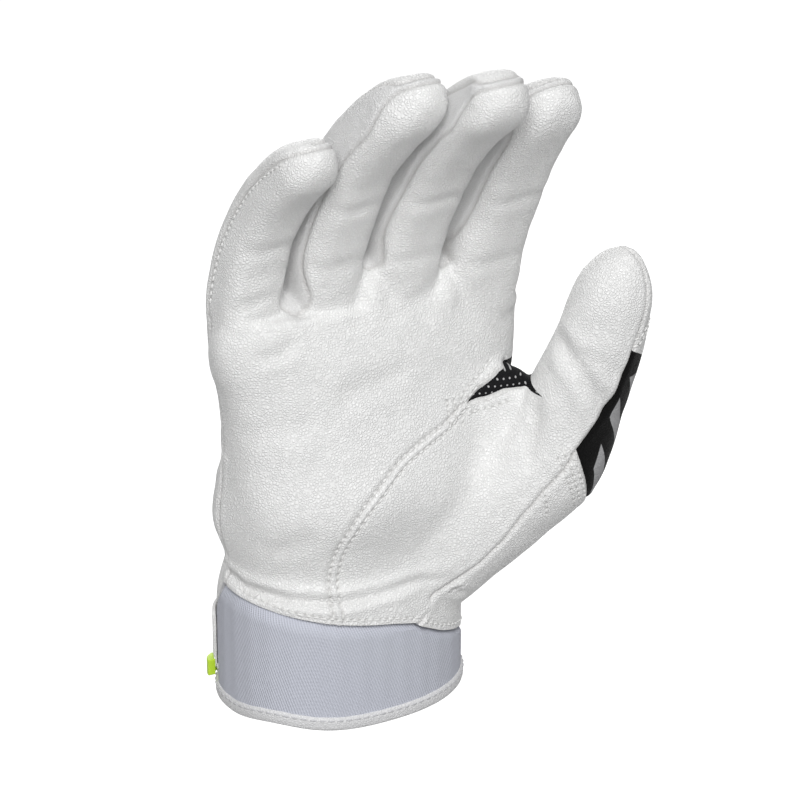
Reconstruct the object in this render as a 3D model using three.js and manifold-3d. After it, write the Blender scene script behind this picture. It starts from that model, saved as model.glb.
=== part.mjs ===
// Batting glove for the right hand, stood upright with its finger stalls in a relaxed curl.
// Millimetres. The origin is the centre of the wrist opening, in the plane of the cuff's rim.
// +Z runs up the cuff towards the fingertips, -Y is the palm side and +X the thumb side.

import * as THREE from 'three';
import { mergeVertices } from 'three/addons/utils/BufferGeometryUtils.js';
import Module from 'manifold-3d';

const wasm = await Module();
wasm.setup();

// General sizes
const GAP = 0.3;
const LEATHER = 1.3;
const ELASTIC = 1.8;
const FAR = 200;
const DEG = Math.PI / 180;

// Cross-sections of the hand bag from the cuff to the roots of the fingers
const BAG_SECTIONS = [
  { z: -10, x: 0.5, y: 0, width: 33.5, depth: 26.5 },
  { z: 27, x: 0.5, y: 0, width: 34, depth: 27 },
  { z: 38, x: 2, y: 0, width: 34, depth: 26 },
  { z: 55, x: 3, y: 0, width: 36.5, depth: 25 },
  { z: 72, x: 7, y: 0, width: 39.5, depth: 23 },
  { z: 92, x: 9, y: -1, width: 43, depth: 19 },
  { z: 108, x: 8, y: -2, width: 44.3, depth: 15 },
  { z: 116, x: 8, y: -3, width: 44.5, depth: 12.4 },
];
const BAG_TOP = 116;
const BAG_SQUARENESS = 2.3;
const BAG_SIDES = 30;

// Cuff: an elastic band under the palm, two leather flaps behind it and a bound rim
const CUFF = { x: 0.5, y: 0, width: 33.5, depth: 26.5 };
const BINDING_HEIGHT = 4.3;
const BINDING_OUT = 0.8;
const BINDING_IN = 2.2;
const BAND_TOP = 27.5;
const BAND_TOP_THUMB = 14;
const BAND_SLOPE_FROM_X = 8;
const BAND_SLOPE_TO_X = 33;
const BAND_FROM = 160;
const BAND_TO = 380;
const SLIT_AT = 90;
const SLIT_HALF = 1;
const STRIP_STEP = 11;

// Closing strap across the back of the wrist, sewn down at its thumb-side end
const STRAP = { from: 38, to: 158, low: 5, high: 24, thick: 1.3, stand: 1.9, ramp: 26 };
const HOOK_PAD = { from: 108, to: 153, low: 7.5, high: 21.5, stand: 1.1, thick: 0.5 };
const LOOP_PATCH = { from: 98, to: 150, low: 6, high: 23, stand: 0.3, thick: 0.5 };
const PULL_TAB = { from: 158.6, to: 168, low: 6.5, high: 12.5, stand: 1.2, thick: 2.2 };

// Finger stalls: root of the centre line, bend from the vertical, sideways lean, half sizes
const FINGERS = {
  index: {
    root: [41.3, -4, 113.1], bend: [13, 48], lean: 1.5, length: 74,
    width: [11, 8.8], depth: [10.4, 7.6], sides: ['ulnar'],
    rootX: [30.2, 52.2], rootDepth: 11, sleeveEnd: 18.4, middle: [32, 44],
  },
  middle: {
    root: [18.4, -4, 121.2], bend: [13, 64], lean: 3, length: 83,
    width: [10.6, 9], depth: [10.8, 8.2], sides: ['ulnar', 'radial'],
    rootX: [7.7, 29.9], rootDepth: 12.2, sleeveEnd: 10.2, middle: [30, 42],
  },
  ring: {
    root: [-2.6, -2, 120.7], bend: [9.5, 56], lean: 4.2, length: 77.5,
    width: [9.9, 9.2], depth: [10.8, 7.8], sides: ['ulnar', 'radial'],
    rootX: [-14.1, 7.4], rootDepth: 12.2, sleeveEnd: 10.6, middle: [28, 40],
  },
  little: {
    root: [-25.9, 1, 118.2], bend: [4, 63], lean: 5.1, length: 62,
    width: [10.6, 8.4], depth: [9.6, 6.8], sides: ['radial'],
    rootX: [-36.2, -14.4], rootDepth: 11, sleeveEnd: 13, middle: [24.5, 35.5],
  },
};
const STALL_SIDES = 16;
const SIDE_HALF = 28;
const TIP_ROUNDING = 1.15;
const TIP_ANGLES = [25, 48, 66, 79];
const STATION_STEP = 8;
const PANEL_STEP = 21;
const ROOT_CENTRE_Y = -3;
const ROOT_SQUARENESS = 2.8;

// Thumb: centre line with half sizes, from inside the hand bag to the tip
const THUMB_LINE = [
  [11, -4, 36], [30, -12, 47], [42, -19, 56.5], [52.5, -24.5, 69], [57.3, -29, 85],
  [61, -33, 99.5], [63, -36, 113], [65.5, -38.8, 126], [66.2, -39.8, 131],
];
const THUMB_WIDTH = [21, 20, 17.5, 16.2, 14, 12.6, 12, 10.6, 10];
const THUMB_DEPTH = [19, 18.8, 16, 15.2, 12.6, 11.7, 10.4, 9.2, 8.8];
const THUMB_BACK = new THREE.Vector3(0.62, 0.78, 0).normalize();
const THUMB_TIP_LENGTH = 11;
const THUMB_FRONT_EDGE = -42;
const THUMB_BASE_JOINT = 76;
const THUMB_BASE_HALF = 6;
const THUMB_TIP_JOINT = 98;
const THUMB_TIP_HALF = 5.5;
const THUMB_SIDES = 20;

// Web of leather between the palm and the thumb, crossed by the mesh gusset
const WEB_LINE = [[26, -6, 74], [38, -14, 74], [47, -20, 70.5], [55, -26, 67]];
const WEB_HEIGHT = [15, 16, 14.5, 11];
const WEB_THICK = [9, 8.5, 8, 8];

// Seams on the palm side as points (x, z)
const THUMB_SEAM = [
  [-14.7, 27], [-15, 36], [-15, 45.3], [-13, 53], [-8.8, 61.4], [-2, 68],
  [6.7, 73.8], [15.3, 77.6], [22, 80.4], [28.8, 85.2],
];
const GUSSET_TOP = [[28.8, 85.2], [46.7, 92.3], [70, 101]];
const GUSSET_LOW = [[28.8, 85.2], [42, 84.5], [49, 82], [70, 78]];

// Seam between the palm side and the back, in plan as points (x, y): straight along the hand,
// and round the middle of the thumb below the gusset
const SIDE_SEAM_Y = 3;
const HAND_SEAM = [[-FAR, SIDE_SEAM_Y], [FAR, SIDE_SEAM_Y]];
const THUMB_SIDE_SEAM = [
  [-FAR, SIDE_SEAM_Y], [12, SIDE_SEAM_Y], [30, -8.6], [50, -24.5], [60, -43], [67, -60], [67, -FAR],
];

// Seams on the back as heights and x positions
const KNUCKLE_SEAM_Z = 96;
const HEEL_SEAM_X = 28;
const THUMB_BACK_SEAM = [[49, 120], [59.7, 67.4], [66, 43], [70, -FAR]];

// Colours of the materials
const WHITE_LEATHER = { color: 0xeeeeec, roughness: 0.55, metalness: 0 };
const GREY_ELASTIC = { color: 0xc6c6cf, roughness: 0.85, metalness: 0 };
const GREY_BINDING = { color: 0xd4d4d6, roughness: 0.7, metalness: 0 };
const BLACK_KNIT = { color: 0x0c0c0d, roughness: 0.8, metalness: 0 };
const LIME_RUBBER = { color: 0xb8dc28, roughness: 0.5, metalness: 0 };
const GREY_HOOKS = { color: 0x8c8c90, roughness: 0.95, metalness: 0 };

const glove = new THREE.Group();

function addNode(name, geometry, look) {
  geometry.computeVertexNormals();
  const mesh = new THREE.Mesh(geometry, new THREE.MeshStandardMaterial(look));
  mesh.name = name;
  glove.add(mesh);
}

function meshFrom(points, index) {
  const geometry = new THREE.BufferGeometry();
  geometry.setFromPoints(points);
  geometry.setIndex(index);
  return geometry;
}

function superPower(value, squareness) {
  return Math.sign(value) * Math.abs(value) ** (2 / squareness);
}

// Point at an angle on a cross-section: 0 thumb side, 90 back, 180 little-finger side, 270 palm
function sectionPoint(frame, degrees, squareness = 2) {
  const across = frame.width * superPower(Math.cos(degrees * DEG), squareness);
  const over = frame.depth * superPower(Math.sin(degrees * DEG), squareness);
  return frame.centre.clone().addScaledVector(frame.side, across).addScaledVector(frame.back, over);
}

function ringOf(frame, count, squareness = 2) {
  const ring = [];
  for (let i = 0; i < count; i++) {
    ring.push(sectionPoint(frame, (360 * i) / count, squareness));
  }
  return ring;
}

// Closed solid through rings of equal count, with flat ends
function loftSolid(rings) {
  const count = rings[0].length;
  const points = rings.flat();
  const index = [];
  for (let i = 0; i + 1 < rings.length; i++) {
    for (let j = 0; j < count; j++) {
      const k = (j + 1) % count;
      const low = i * count;
      const high = low + count;
      index.push(low + j, low + k, high + k, low + j, high + k, high + j);
    }
  }
  const last = (rings.length - 1) * count;
  const startCentre = points.length;
  const endCentre = startCentre + 1;
  for (const ring of [rings[0], rings[rings.length - 1]]) {
    const middle = new THREE.Vector3();
    ring.forEach((point) => middle.addScaledVector(point, 1 / count));
    points.push(middle);
  }
  for (let j = 0; j < count; j++) {
    const k = (j + 1) % count;
    index.push(startCentre, k, j, endCentre, last + j, last + k);
  }
  return meshFrom(points, index);
}

// Closed wall between an outer and an inner grid of points, rows along the stall, columns around
function wallBetween(outer, inner, closed) {
  const rows = outer.length;
  const columns = outer[0].length;
  const points = [...outer.flat(), ...inner.flat()];
  const innerStart = rows * columns;
  const spans = closed ? columns : columns - 1;
  const index = [];
  const quad = (a, b, c, d) => index.push(a, b, c, a, c, d);
  for (let i = 0; i + 1 < rows; i++) {
    for (let j = 0; j < spans; j++) {
      const k = (j + 1) % columns;
      const low = i * columns;
      const high = low + columns;
      quad(low + j, low + k, high + k, high + j);
      quad(innerStart + low + j, innerStart + high + j, innerStart + high + k, innerStart + low + k);
    }
  }
  const end = (rows - 1) * columns;
  for (let j = 0; j < spans; j++) {
    const k = (j + 1) % columns;
    quad(j, innerStart + j, innerStart + k, k);
    quad(end + j, end + k, innerStart + end + k, innerStart + end + j);
  }
  if (!closed) {
    for (let i = 0; i + 1 < rows; i++) {
      const low = i * columns;
      const high = low + columns;
      const lowEnd = low + columns - 1;
      const highEnd = high + columns - 1;
      quad(low, high, innerStart + high, innerStart + low);
      quad(lowEnd, innerStart + lowEnd, innerStart + highEnd, highEnd);
    }
  }
  return meshFrom(points, index);
}

function toSolid(geometry) {
  const bare = geometry.clone();
  bare.deleteAttribute('normal');
  bare.deleteAttribute('uv');
  const merged = mergeVertices(bare, 1e-4);
  return new wasm.Manifold(new wasm.Mesh({
    numProp: 3,
    vertProperties: new Float32Array(merged.attributes.position.array),
    triVerts: new Uint32Array(merged.index.array),
  }));
}

function toGeometry(solid) {
  const mesh = solid.getMesh();
  const geometry = new THREE.BufferGeometry();
  geometry.setAttribute('position', new THREE.BufferAttribute(new Float32Array(mesh.vertProperties), 3));
  geometry.setIndex(Array.from(mesh.triVerts));
  return geometry;
}

// Prism over an outline in plan (x, y), from far below to far above
function planPrism(outline) {
  const shape = new THREE.Shape(outline.map(([x, y]) => new THREE.Vector2(x, y)));
  const geometry = new THREE.ExtrudeGeometry(shape, { depth: 2 * FAR, bevelEnabled: false });
  return toSolid(geometry.translate(0, 0, -FAR));
}

// Prism over an outline seen from the palm side (x, z), through the whole depth
function frontPrism(outline) {
  const shape = new THREE.Shape(outline.map(([x, z]) => new THREE.Vector2(x, z)));
  const geometry = new THREE.ExtrudeGeometry(shape, { depth: 2 * FAR, bevelEnabled: false });
  return toSolid(geometry.rotateX(Math.PI / 2).translate(0, FAR, 0));
}

// Line moved sideways by a distance, to the left of its direction
function offsetLine(line, distance) {
  return line.map((point, i) => {
    const before = line[Math.max(i - 1, 0)];
    const after = line[Math.min(i + 1, line.length - 1)];
    const along = new THREE.Vector2(after[0] - before[0], after[1] - before[1]).normalize();
    return [point[0] - along.y * distance, point[1] + along.x * distance];
  });
}

// Frame on a finger stall's centre line, which bends evenly from its root to its tip
function fingerFrame(finger, s) {
  const start = finger.bend[0] * DEG;
  const rate = ((finger.bend[1] - finger.bend[0]) * DEG) / finger.length;
  const angle = start + rate * s;
  const lean = finger.lean * DEG;
  const centre = new THREE.Vector3(
    finger.root[0] + Math.sin(lean) * s,
    finger.root[1] - (Math.cos(lean) * (Math.cos(start) - Math.cos(angle))) / rate,
    finger.root[2] + (Math.cos(lean) * (Math.sin(angle) - Math.sin(start))) / rate,
  );
  const along = new THREE.Vector3(
    Math.sin(lean), -Math.sin(angle) * Math.cos(lean), Math.cos(angle) * Math.cos(lean),
  );
  const side = new THREE.Vector3(1, 0, 0).addScaledVector(along, -along.x).normalize();
  const back = along.clone().cross(side);
  return { centre, along, side, back };
}

function fingerStall(finger) {
  const mix = (pair, s) => pair[0] + ((pair[1] - pair[0]) * s) / finger.length;
  const size = (s) => ({ width: mix(finger.width, s), depth: mix(finger.depth, s) });
  const tip = finger.width[1] * TIP_ROUNDING;
  return { length: finger.length, tip, frame: (s) => fingerFrame(finger, s), size };
}

// Frame on the thumb's centre line
const thumbCurve = new THREE.CatmullRomCurve3(
  THUMB_LINE.map((point) => new THREE.Vector3(...point)), false, 'centripetal',
);
const THUMB_LENGTH = thumbCurve.getLength();

function thumbFrame(s) {
  const u = THREE.MathUtils.clamp(s / THUMB_LENGTH, 0, 1);
  const along = thumbCurve.getTangentAt(u);
  const centre = thumbCurve.getPointAt(u).addScaledVector(along, s - u * THUMB_LENGTH);
  const back = THUMB_BACK.clone().addScaledVector(along, -THUMB_BACK.dot(along)).normalize();
  const side = back.clone().cross(along);
  return { centre, along, side, back };
}

function thumbSize(s) {
  const u = THREE.MathUtils.clamp(s / THUMB_LENGTH, 0, 1);
  const place = thumbCurve.getUtoTmapping(u) * (THUMB_LINE.length - 1);
  const i = Math.min(Math.floor(place), THUMB_LINE.length - 2);
  const mix = (list) => THREE.MathUtils.lerp(list[i], list[i + 1], place - i);
  return { width: mix(THUMB_WIDTH), depth: mix(THUMB_DEPTH) };
}

const thumbStall = { length: THUMB_LENGTH, tip: THUMB_TIP_LENGTH, frame: thumbFrame, size: thumbSize };

// Outer cross-section of a stall, drawn in to a rounded end over its tip length
function stallFrame(stall, s) {
  const { width, depth } = stall.size(s);
  const into = THREE.MathUtils.clamp((s - stall.length + stall.tip) / stall.tip, 0, 0.995);
  const draw = Math.sqrt(1 - into * into);
  return { ...stall.frame(s), width: width * draw, depth: depth * draw };
}

// The same section moved in by the wall's thickness, square to the surface
function innerFrame(stall, s, wall) {
  const step = 0.05;
  const here = stallFrame(stall, s);
  const before = stallFrame(stall, s - step);
  const slope = (here.width + here.depth - before.width - before.depth) / (2 * step);
  const square = 1 / Math.hypot(1, slope);
  const frame = stall.frame(s + wall * slope * square);
  return { ...frame, width: here.width - wall * square, depth: here.depth - wall * square };
}

function stationsBetween(stall, from, to) {
  const tipStart = stall.length - stall.tip;
  const end = Math.min(to, tipStart);
  const spans = Math.max(1, Math.round((end - from) / STATION_STEP));
  const stations = [];
  for (let i = 0; i <= spans; i++) {
    stations.push(from + ((end - from) * i) / spans);
  }
  if (to > tipStart) {
    TIP_ANGLES.forEach((angle) => stations.push(tipStart + stall.tip * Math.sin(angle * DEG)));
  }
  return stations;
}

// One leather panel of a stall between two angles, with half a gap left at each long edge
function stallPanel(stall, from, to, startAngle, endAngle) {
  const steps = Math.max(3, Math.round((endAngle - startAngle) / PANEL_STEP));
  const rowOf = (frame) => {
    const trim = Math.asin(GAP / 2 / Math.min(frame.width, frame.depth)) / DEG;
    const row = [];
    for (let j = 0; j <= steps; j++) {
      const share = j / steps;
      row.push(sectionPoint(frame, startAngle + trim + (endAngle - startAngle - 2 * trim) * share));
    }
    return row;
  };
  const stations = stationsBetween(stall, from, to);
  const outer = stations.map((s) => rowOf(stallFrame(stall, s)));
  const inner = stations.map((s) => rowOf(innerFrame(stall, s, LEATHER)));
  return wallBetween(outer, inner, false);
}

// Ring of soft leather round a joint of a stall
function stallSleeve(stall, from, to) {
  const stations = [from, (from + to) / 2, to];
  const outer = stations.map((s) => ringOf(stallFrame(stall, s), STALL_SIDES));
  const inner = stations.map((s) => ringOf(innerFrame(stall, s, LEATHER), STALL_SIDES));
  return wallBetween(outer, inner, true);
}

// Ring of soft leather from the flat top of the hand bag to the start of a finger stall
function rootSleeve(finger, stall) {
  const rootFrame = (inset) => ({
    centre: new THREE.Vector3((finger.rootX[0] + finger.rootX[1]) / 2, ROOT_CENTRE_Y, BAG_TOP + GAP),
    side: new THREE.Vector3(1, 0, 0),
    back: new THREE.Vector3(0, 1, 0),
    width: (finger.rootX[1] - finger.rootX[0]) / 2 - inset,
    depth: finger.rootDepth - inset,
  });
  const outer = [
    ringOf(rootFrame(0), STALL_SIDES, ROOT_SQUARENESS),
    ringOf(stallFrame(stall, finger.sleeveEnd), STALL_SIDES),
  ];
  const inner = [
    ringOf(rootFrame(LEATHER), STALL_SIDES, ROOT_SQUARENESS),
    ringOf(innerFrame(stall, finger.sleeveEnd, LEATHER), STALL_SIDES),
  ];
  return wallBetween(outer, inner, true);
}

// Finger stalls
for (const [name, finger] of Object.entries(FINGERS)) {
  const stall = fingerStall(finger);
  const hasUlnar = finger.sides.includes('ulnar');
  const hasRadial = finger.sides.includes('radial');
  const ulnarBack = hasUlnar ? 180 - SIDE_HALF : 180;
  const ulnarFront = hasUlnar ? 180 + SIDE_HALF : 180;
  const radialFront = hasRadial ? 360 - SIDE_HALF : 360;
  const radialBack = hasRadial ? SIDE_HALF : 0;
  const lower = [finger.sleeveEnd + GAP, finger.middle[0] - GAP];
  const upper = [finger.middle[1] + GAP, finger.length];
  addNode(`${name}_root_sleeve`, rootSleeve(finger, stall), WHITE_LEATHER);
  addNode(`${name}_middle_sleeve`, stallSleeve(stall, ...finger.middle), WHITE_LEATHER);
  for (const [part, [from, to]] of [['lower', lower], ['upper', upper]]) {
    addNode(`${name}_front_${part}`, stallPanel(stall, from, to, ulnarFront, radialFront), WHITE_LEATHER);
    addNode(`${name}_back_${part}`, stallPanel(stall, from, to, radialBack, ulnarBack), WHITE_LEATHER);
    if (hasUlnar) {
      const panel = stallPanel(stall, from, to, 180 - SIDE_HALF, 180 + SIDE_HALF);
      addNode(`${name}_ulnar_fourchette_${part}`, panel, WHITE_LEATHER);
    }
    if (hasRadial) {
      const panel = stallPanel(stall, from, to, -SIDE_HALF, SIDE_HALF);
      addNode(`${name}_radial_fourchette_${part}`, panel, WHITE_LEATHER);
    }
  }
}

// Thumb stall above the web
const thumbBase = [THUMB_BASE_JOINT - THUMB_BASE_HALF, THUMB_BASE_JOINT + THUMB_BASE_HALF];
const thumbMiddle = [THUMB_TIP_JOINT - THUMB_TIP_HALF, THUMB_TIP_JOINT + THUMB_TIP_HALF];
addNode('thumb_root_sleeve', stallSleeve(thumbStall, ...thumbBase), WHITE_LEATHER);
addNode('thumb_middle_sleeve', stallSleeve(thumbStall, ...thumbMiddle), WHITE_LEATHER);
const thumbParts = [
  ['lower', thumbBase[1] + GAP, thumbMiddle[0] - GAP, BLACK_KNIT],
  ['upper', thumbMiddle[1] + GAP, THUMB_LENGTH, WHITE_LEATHER],
];
for (const [part, from, to, backLook] of thumbParts) {
  const front = stallPanel(thumbStall, from, to, 180, 360 + THUMB_FRONT_EDGE);
  const back = stallPanel(thumbStall, from, to, THUMB_FRONT_EDGE, 180);
  addNode(`thumb_front_${part}`, front, WHITE_LEATHER);
  addNode(`thumb_back_${part}`, back, backLook);
}

// Hand bag, thumb base and web joined into one hollow skin
function bagSolid(inset) {
  const rings = BAG_SECTIONS.map((section) => ringOf({
    centre: new THREE.Vector3(section.x, section.y, section.z + (section.z < 0 ? -inset : 0)),
    side: new THREE.Vector3(1, 0, 0),
    back: new THREE.Vector3(0, 1, 0),
    width: section.width - inset,
    depth: section.depth - inset,
  }, BAG_SIDES, BAG_SQUARENESS));
  if (inset > 0) {
    rings.push(rings[rings.length - 1].map((point) => point.clone().setZ(BAG_TOP + STATION_STEP)));
  }
  return toSolid(loftSolid(rings));
}

// Full thumb between two places on its centre line, its sides moved in by an inset
function thumbSolid(from, to, inset) {
  const spans = Math.max(2, Math.round((to - from) / STATION_STEP));
  const rings = [];
  for (let i = 0; i <= spans; i++) {
    const s = from + ((to - from) * i) / spans;
    const size = thumbSize(s);
    const frame = { ...thumbFrame(s), width: size.width - inset, depth: size.depth - inset };
    rings.push(ringOf(frame, THUMB_SIDES));
  }
  return toSolid(loftSolid(rings));
}

function webSolid(inset) {
  const last = WEB_LINE.length - 1;
  const rings = WEB_LINE.map((point, i) => {
    const before = new THREE.Vector3(...WEB_LINE[Math.max(i - 1, 0)]);
    const after = new THREE.Vector3(...WEB_LINE[Math.min(i + 1, last)]);
    const along = after.sub(before).setZ(0).normalize();
    const up = new THREE.Vector3(0, 0, 1);
    const side = up.clone().cross(along);
    return ringOf({
      centre: new THREE.Vector3(...point), side, back: up,
      width: WEB_THICK[i] - inset, depth: WEB_HEIGHT[i] - inset,
    }, STALL_SIDES);
  });
  return toSolid(loftSolid(rings));
}

const thumbStart = thumbBase[0] - GAP;
const thumbRoom = thumbSolid(thumbStart, thumbMiddle[1], -2 * GAP);
const skinOutside = bagSolid(0).add(thumbSolid(0, thumbStart, 0)).add(webSolid(0));
const thumbHollow = thumbSolid(0, thumbStart + STATION_STEP, LEATHER);
const skinInside = bagSolid(LEATHER).add(thumbHollow).add(webSolid(LEATHER)).add(thumbRoom);
const HALF = GAP / 2;
const bandEdge = [
  [-FAR, BAND_TOP], [BAND_SLOPE_FROM_X, BAND_TOP], [BAND_SLOPE_TO_X, BAND_TOP_THUMB], [FAR, BAND_TOP_THUMB],
];
const aboveCuff = frontPrism([...offsetLine(bandEdge, 2 * GAP), [FAR, FAR], [-FAR, FAR]]);
const skin = skinOutside.subtract(skinInside).intersect(aboveCuff);

const seamStart = [THUMB_SEAM[0][0], -FAR];
const palmEdge = [seamStart, ...THUMB_SEAM.slice(0, -1), ...GUSSET_TOP];
const heelEdge = [seamStart, ...THUMB_SEAM.slice(0, -1), ...GUSSET_LOW];
const palmArea = frontPrism([
  ...offsetLine(palmEdge, HALF), [FAR, BAG_TOP], [FAR, FAR], [-FAR, FAR], [-FAR, -FAR],
]);
const thumbArea = frontPrism([...offsetLine(palmEdge, -HALF), [FAR, BAG_TOP], [FAR, -FAR]]);
const heelArea = frontPrism([...offsetLine(heelEdge, -HALF), [FAR, 0], [FAR, -FAR]]);
const gussetArea = frontPrism([
  ...offsetLine(GUSSET_LOW, HALF), ...offsetLine(GUSSET_TOP, -HALF).reverse().slice(0, -1),
]);
const palmSide = skin.intersect(planPrism([...offsetLine(HAND_SEAM, -HALF), [FAR, -FAR], [-FAR, -FAR]]));
const thumbSide = skin.intersect(planPrism([...offsetLine(THUMB_SIDE_SEAM, -HALF), [-FAR, -FAR]]));
const behindHand = planPrism([...offsetLine(HAND_SEAM, HALF), [FAR, FAR], [-FAR, FAR]]);
const behindThumb = planPrism([...offsetLine(THUMB_SIDE_SEAM, HALF), [FAR, -FAR], [FAR, FAR], [-FAR, FAR]]);
const backSide = skin.intersect(behindHand.add(behindThumb.intersect(thumbArea)));
addNode('palm_panel', toGeometry(palmSide.intersect(palmArea)), WHITE_LEATHER);
addNode('thumb_heel_panel', toGeometry(thumbSide.intersect(heelArea)), WHITE_LEATHER);
addNode('thumb_crotch_gusset', toGeometry(thumbSide.intersect(gussetArea)), BLACK_KNIT);

const aboveKnuckles = frontPrism([
  [-FAR, KNUCKLE_SEAM_Z + HALF], [FAR, KNUCKLE_SEAM_Z + HALF], [FAR, FAR], [-FAR, FAR],
]);
const belowKnuckles = backSide.intersect(frontPrism([
  [-FAR, -FAR], [FAR, -FAR], [FAR, KNUCKLE_SEAM_Z - HALF], [-FAR, KNUCKLE_SEAM_Z - HALF],
]));
const backArea = frontPrism([
  [-FAR, -FAR], [HEEL_SEAM_X - HALF, -FAR], [HEEL_SEAM_X - HALF, FAR], [-FAR, FAR],
]);
const sideArea = frontPrism([
  [HEEL_SEAM_X + HALF, -FAR], ...offsetLine(THUMB_BACK_SEAM, -HALF).reverse(), [HEEL_SEAM_X + HALF, FAR],
]);
const thumbBackArea = frontPrism([...offsetLine(THUMB_BACK_SEAM, HALF), [FAR, -FAR], [FAR, FAR]]);
addNode('knuckle_panel', toGeometry(backSide.intersect(aboveKnuckles)), BLACK_KNIT);
addNode('back_hand_panel', toGeometry(belowKnuckles.intersect(backArea)), WHITE_LEATHER);
addNode('side_panel', toGeometry(belowKnuckles.intersect(sideArea)), WHITE_LEATHER);
addNode('thumb_back_panel', toGeometry(belowKnuckles.intersect(thumbBackArea)), BLACK_KNIT);

// Curved strip round the cuff between two angles, at set distances outside its skin
function cuffStrip(from, to, low, high, inside, outside) {
  const steps = Math.max(2, Math.round((to - from) / STRIP_STEP));
  const rowOf = (stand, height) => {
    const row = [];
    for (let j = 0; j <= steps; j++) {
      const angle = from + ((to - from) * j) / steps;
      const distance = stand(angle);
      const point = sectionPoint({
        centre: new THREE.Vector3(CUFF.x, CUFF.y, 0),
        side: new THREE.Vector3(1, 0, 0),
        back: new THREE.Vector3(0, 1, 0),
        width: CUFF.width + distance,
        depth: CUFF.depth + distance,
      }, angle, BAG_SQUARENESS);
      row.push(point.setZ(height(point.x)));
    }
    return row;
  };
  const outer = [rowOf(outside, low), rowOf(outside, high)];
  const inner = [rowOf(inside, low), rowOf(inside, high)];
  return wallBetween(outer, inner, false);
}

const level = (value) => () => value;
const bandTop = (x) => {
  const share = (x - BAND_SLOPE_FROM_X) / (BAND_SLOPE_TO_X - BAND_SLOPE_FROM_X);
  return THREE.MathUtils.lerp(BAND_TOP, BAND_TOP_THUMB, THREE.MathUtils.clamp(share, 0, 1));
};
const bandLow = level(BINDING_HEIGHT + GAP);
const edgeGap = GAP / 2 / (CUFF.depth * DEG);

function cuffPart(from, to, wall) {
  return cuffStrip(from + edgeGap, to - edgeGap, bandLow, bandTop, level(-wall), level(0));
}
addNode('cuff_band', cuffPart(BAND_FROM, BAND_TO, ELASTIC), GREY_ELASTIC);
addNode('cuff_thumb_flap', cuffPart(BAND_TO - 360, SLIT_AT - SLIT_HALF, LEATHER), WHITE_LEATHER);
addNode('cuff_little_flap', cuffPart(SLIT_AT + SLIT_HALF, BAND_FROM, LEATHER), WHITE_LEATHER);
const binding = cuffStrip(
  SLIT_AT + SLIT_HALF, SLIT_AT - SLIT_HALF + 360,
  level(0), level(BINDING_HEIGHT), level(-BINDING_IN), level(BINDING_OUT),
);
addNode('cuff_binding', binding, GREY_BINDING);

// Closing strap with its hook pad and pull tab, and the loop patch under it
function plainStrip(piece) {
  const { from, to, low, high, stand, thick } = piece;
  return cuffStrip(from, to, level(low), level(high), level(stand), level(stand + thick));
}
const strapStand = (angle) => {
  const share = THREE.MathUtils.clamp((angle - STRAP.from) / STRAP.ramp, 0, 1);
  return THREE.MathUtils.lerp(2 * GAP, STRAP.stand, share);
};
const strapOutside = (angle) => strapStand(angle) + STRAP.thick;
const strap = cuffStrip(STRAP.from, STRAP.to, level(STRAP.low), level(STRAP.high), strapStand, strapOutside);
addNode('wrist_loop_patch', plainStrip(LOOP_PATCH), GREY_HOOKS);
addNode('wrist_strap', strap, WHITE_LEATHER);
addNode('strap_hook_pad', plainStrip(HOOK_PAD), GREY_HOOKS);
addNode('strap_pull_tab', plainStrip(PULL_TAB), LIME_RUBBER);

export default glove;
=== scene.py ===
"""Batting glove for the right hand: leather shell, cuff and strap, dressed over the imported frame.

Lengths in the size fields are millimetres in the frame's axes: +Z towards the fingertips, -Y the palm side
and +X the thumb side, with the origin in the middle of the wrist opening. Meshes are scaled to metres when
a piece is finished.
"""

import logging
import math
from collections.abc import Callable
from dataclasses import dataclass, field
from enum import Enum
from functools import cache

import bmesh
import bpy
import numpy as np
from mathutils import Matrix, Vector, noise
from mathutils.bvhtree import BVHTree
from mathutils.kdtree import KDTree


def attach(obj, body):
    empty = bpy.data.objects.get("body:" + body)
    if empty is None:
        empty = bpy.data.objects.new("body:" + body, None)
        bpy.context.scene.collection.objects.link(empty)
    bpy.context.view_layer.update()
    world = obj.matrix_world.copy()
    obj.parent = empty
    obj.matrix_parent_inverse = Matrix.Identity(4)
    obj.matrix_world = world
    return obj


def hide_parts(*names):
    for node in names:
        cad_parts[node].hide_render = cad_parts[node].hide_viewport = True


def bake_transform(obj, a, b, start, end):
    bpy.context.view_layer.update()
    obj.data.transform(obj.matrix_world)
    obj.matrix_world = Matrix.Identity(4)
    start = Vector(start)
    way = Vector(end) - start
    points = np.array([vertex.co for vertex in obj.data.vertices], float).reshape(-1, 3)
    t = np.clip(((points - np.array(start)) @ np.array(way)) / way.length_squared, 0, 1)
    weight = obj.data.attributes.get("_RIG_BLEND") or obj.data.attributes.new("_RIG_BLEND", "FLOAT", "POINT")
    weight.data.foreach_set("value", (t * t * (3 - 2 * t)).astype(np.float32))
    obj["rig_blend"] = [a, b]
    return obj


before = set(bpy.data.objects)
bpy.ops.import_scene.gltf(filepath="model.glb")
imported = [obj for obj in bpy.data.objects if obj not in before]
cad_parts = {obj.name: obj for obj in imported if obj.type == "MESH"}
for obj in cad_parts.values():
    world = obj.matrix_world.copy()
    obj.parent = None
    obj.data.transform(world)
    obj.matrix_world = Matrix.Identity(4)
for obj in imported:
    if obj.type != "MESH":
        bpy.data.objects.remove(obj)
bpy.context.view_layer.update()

Array = np.ndarray
BMesh = bmesh.types.BMesh
Socket = bpy.types.NodeSocket
Field = Callable[[Array], Array]
Point = tuple[float, float, float]
Colour = tuple[float, float, float]
Pair = tuple[float, float]
Line = tuple[Pair, ...]
Inputs = dict[str, object]

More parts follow.
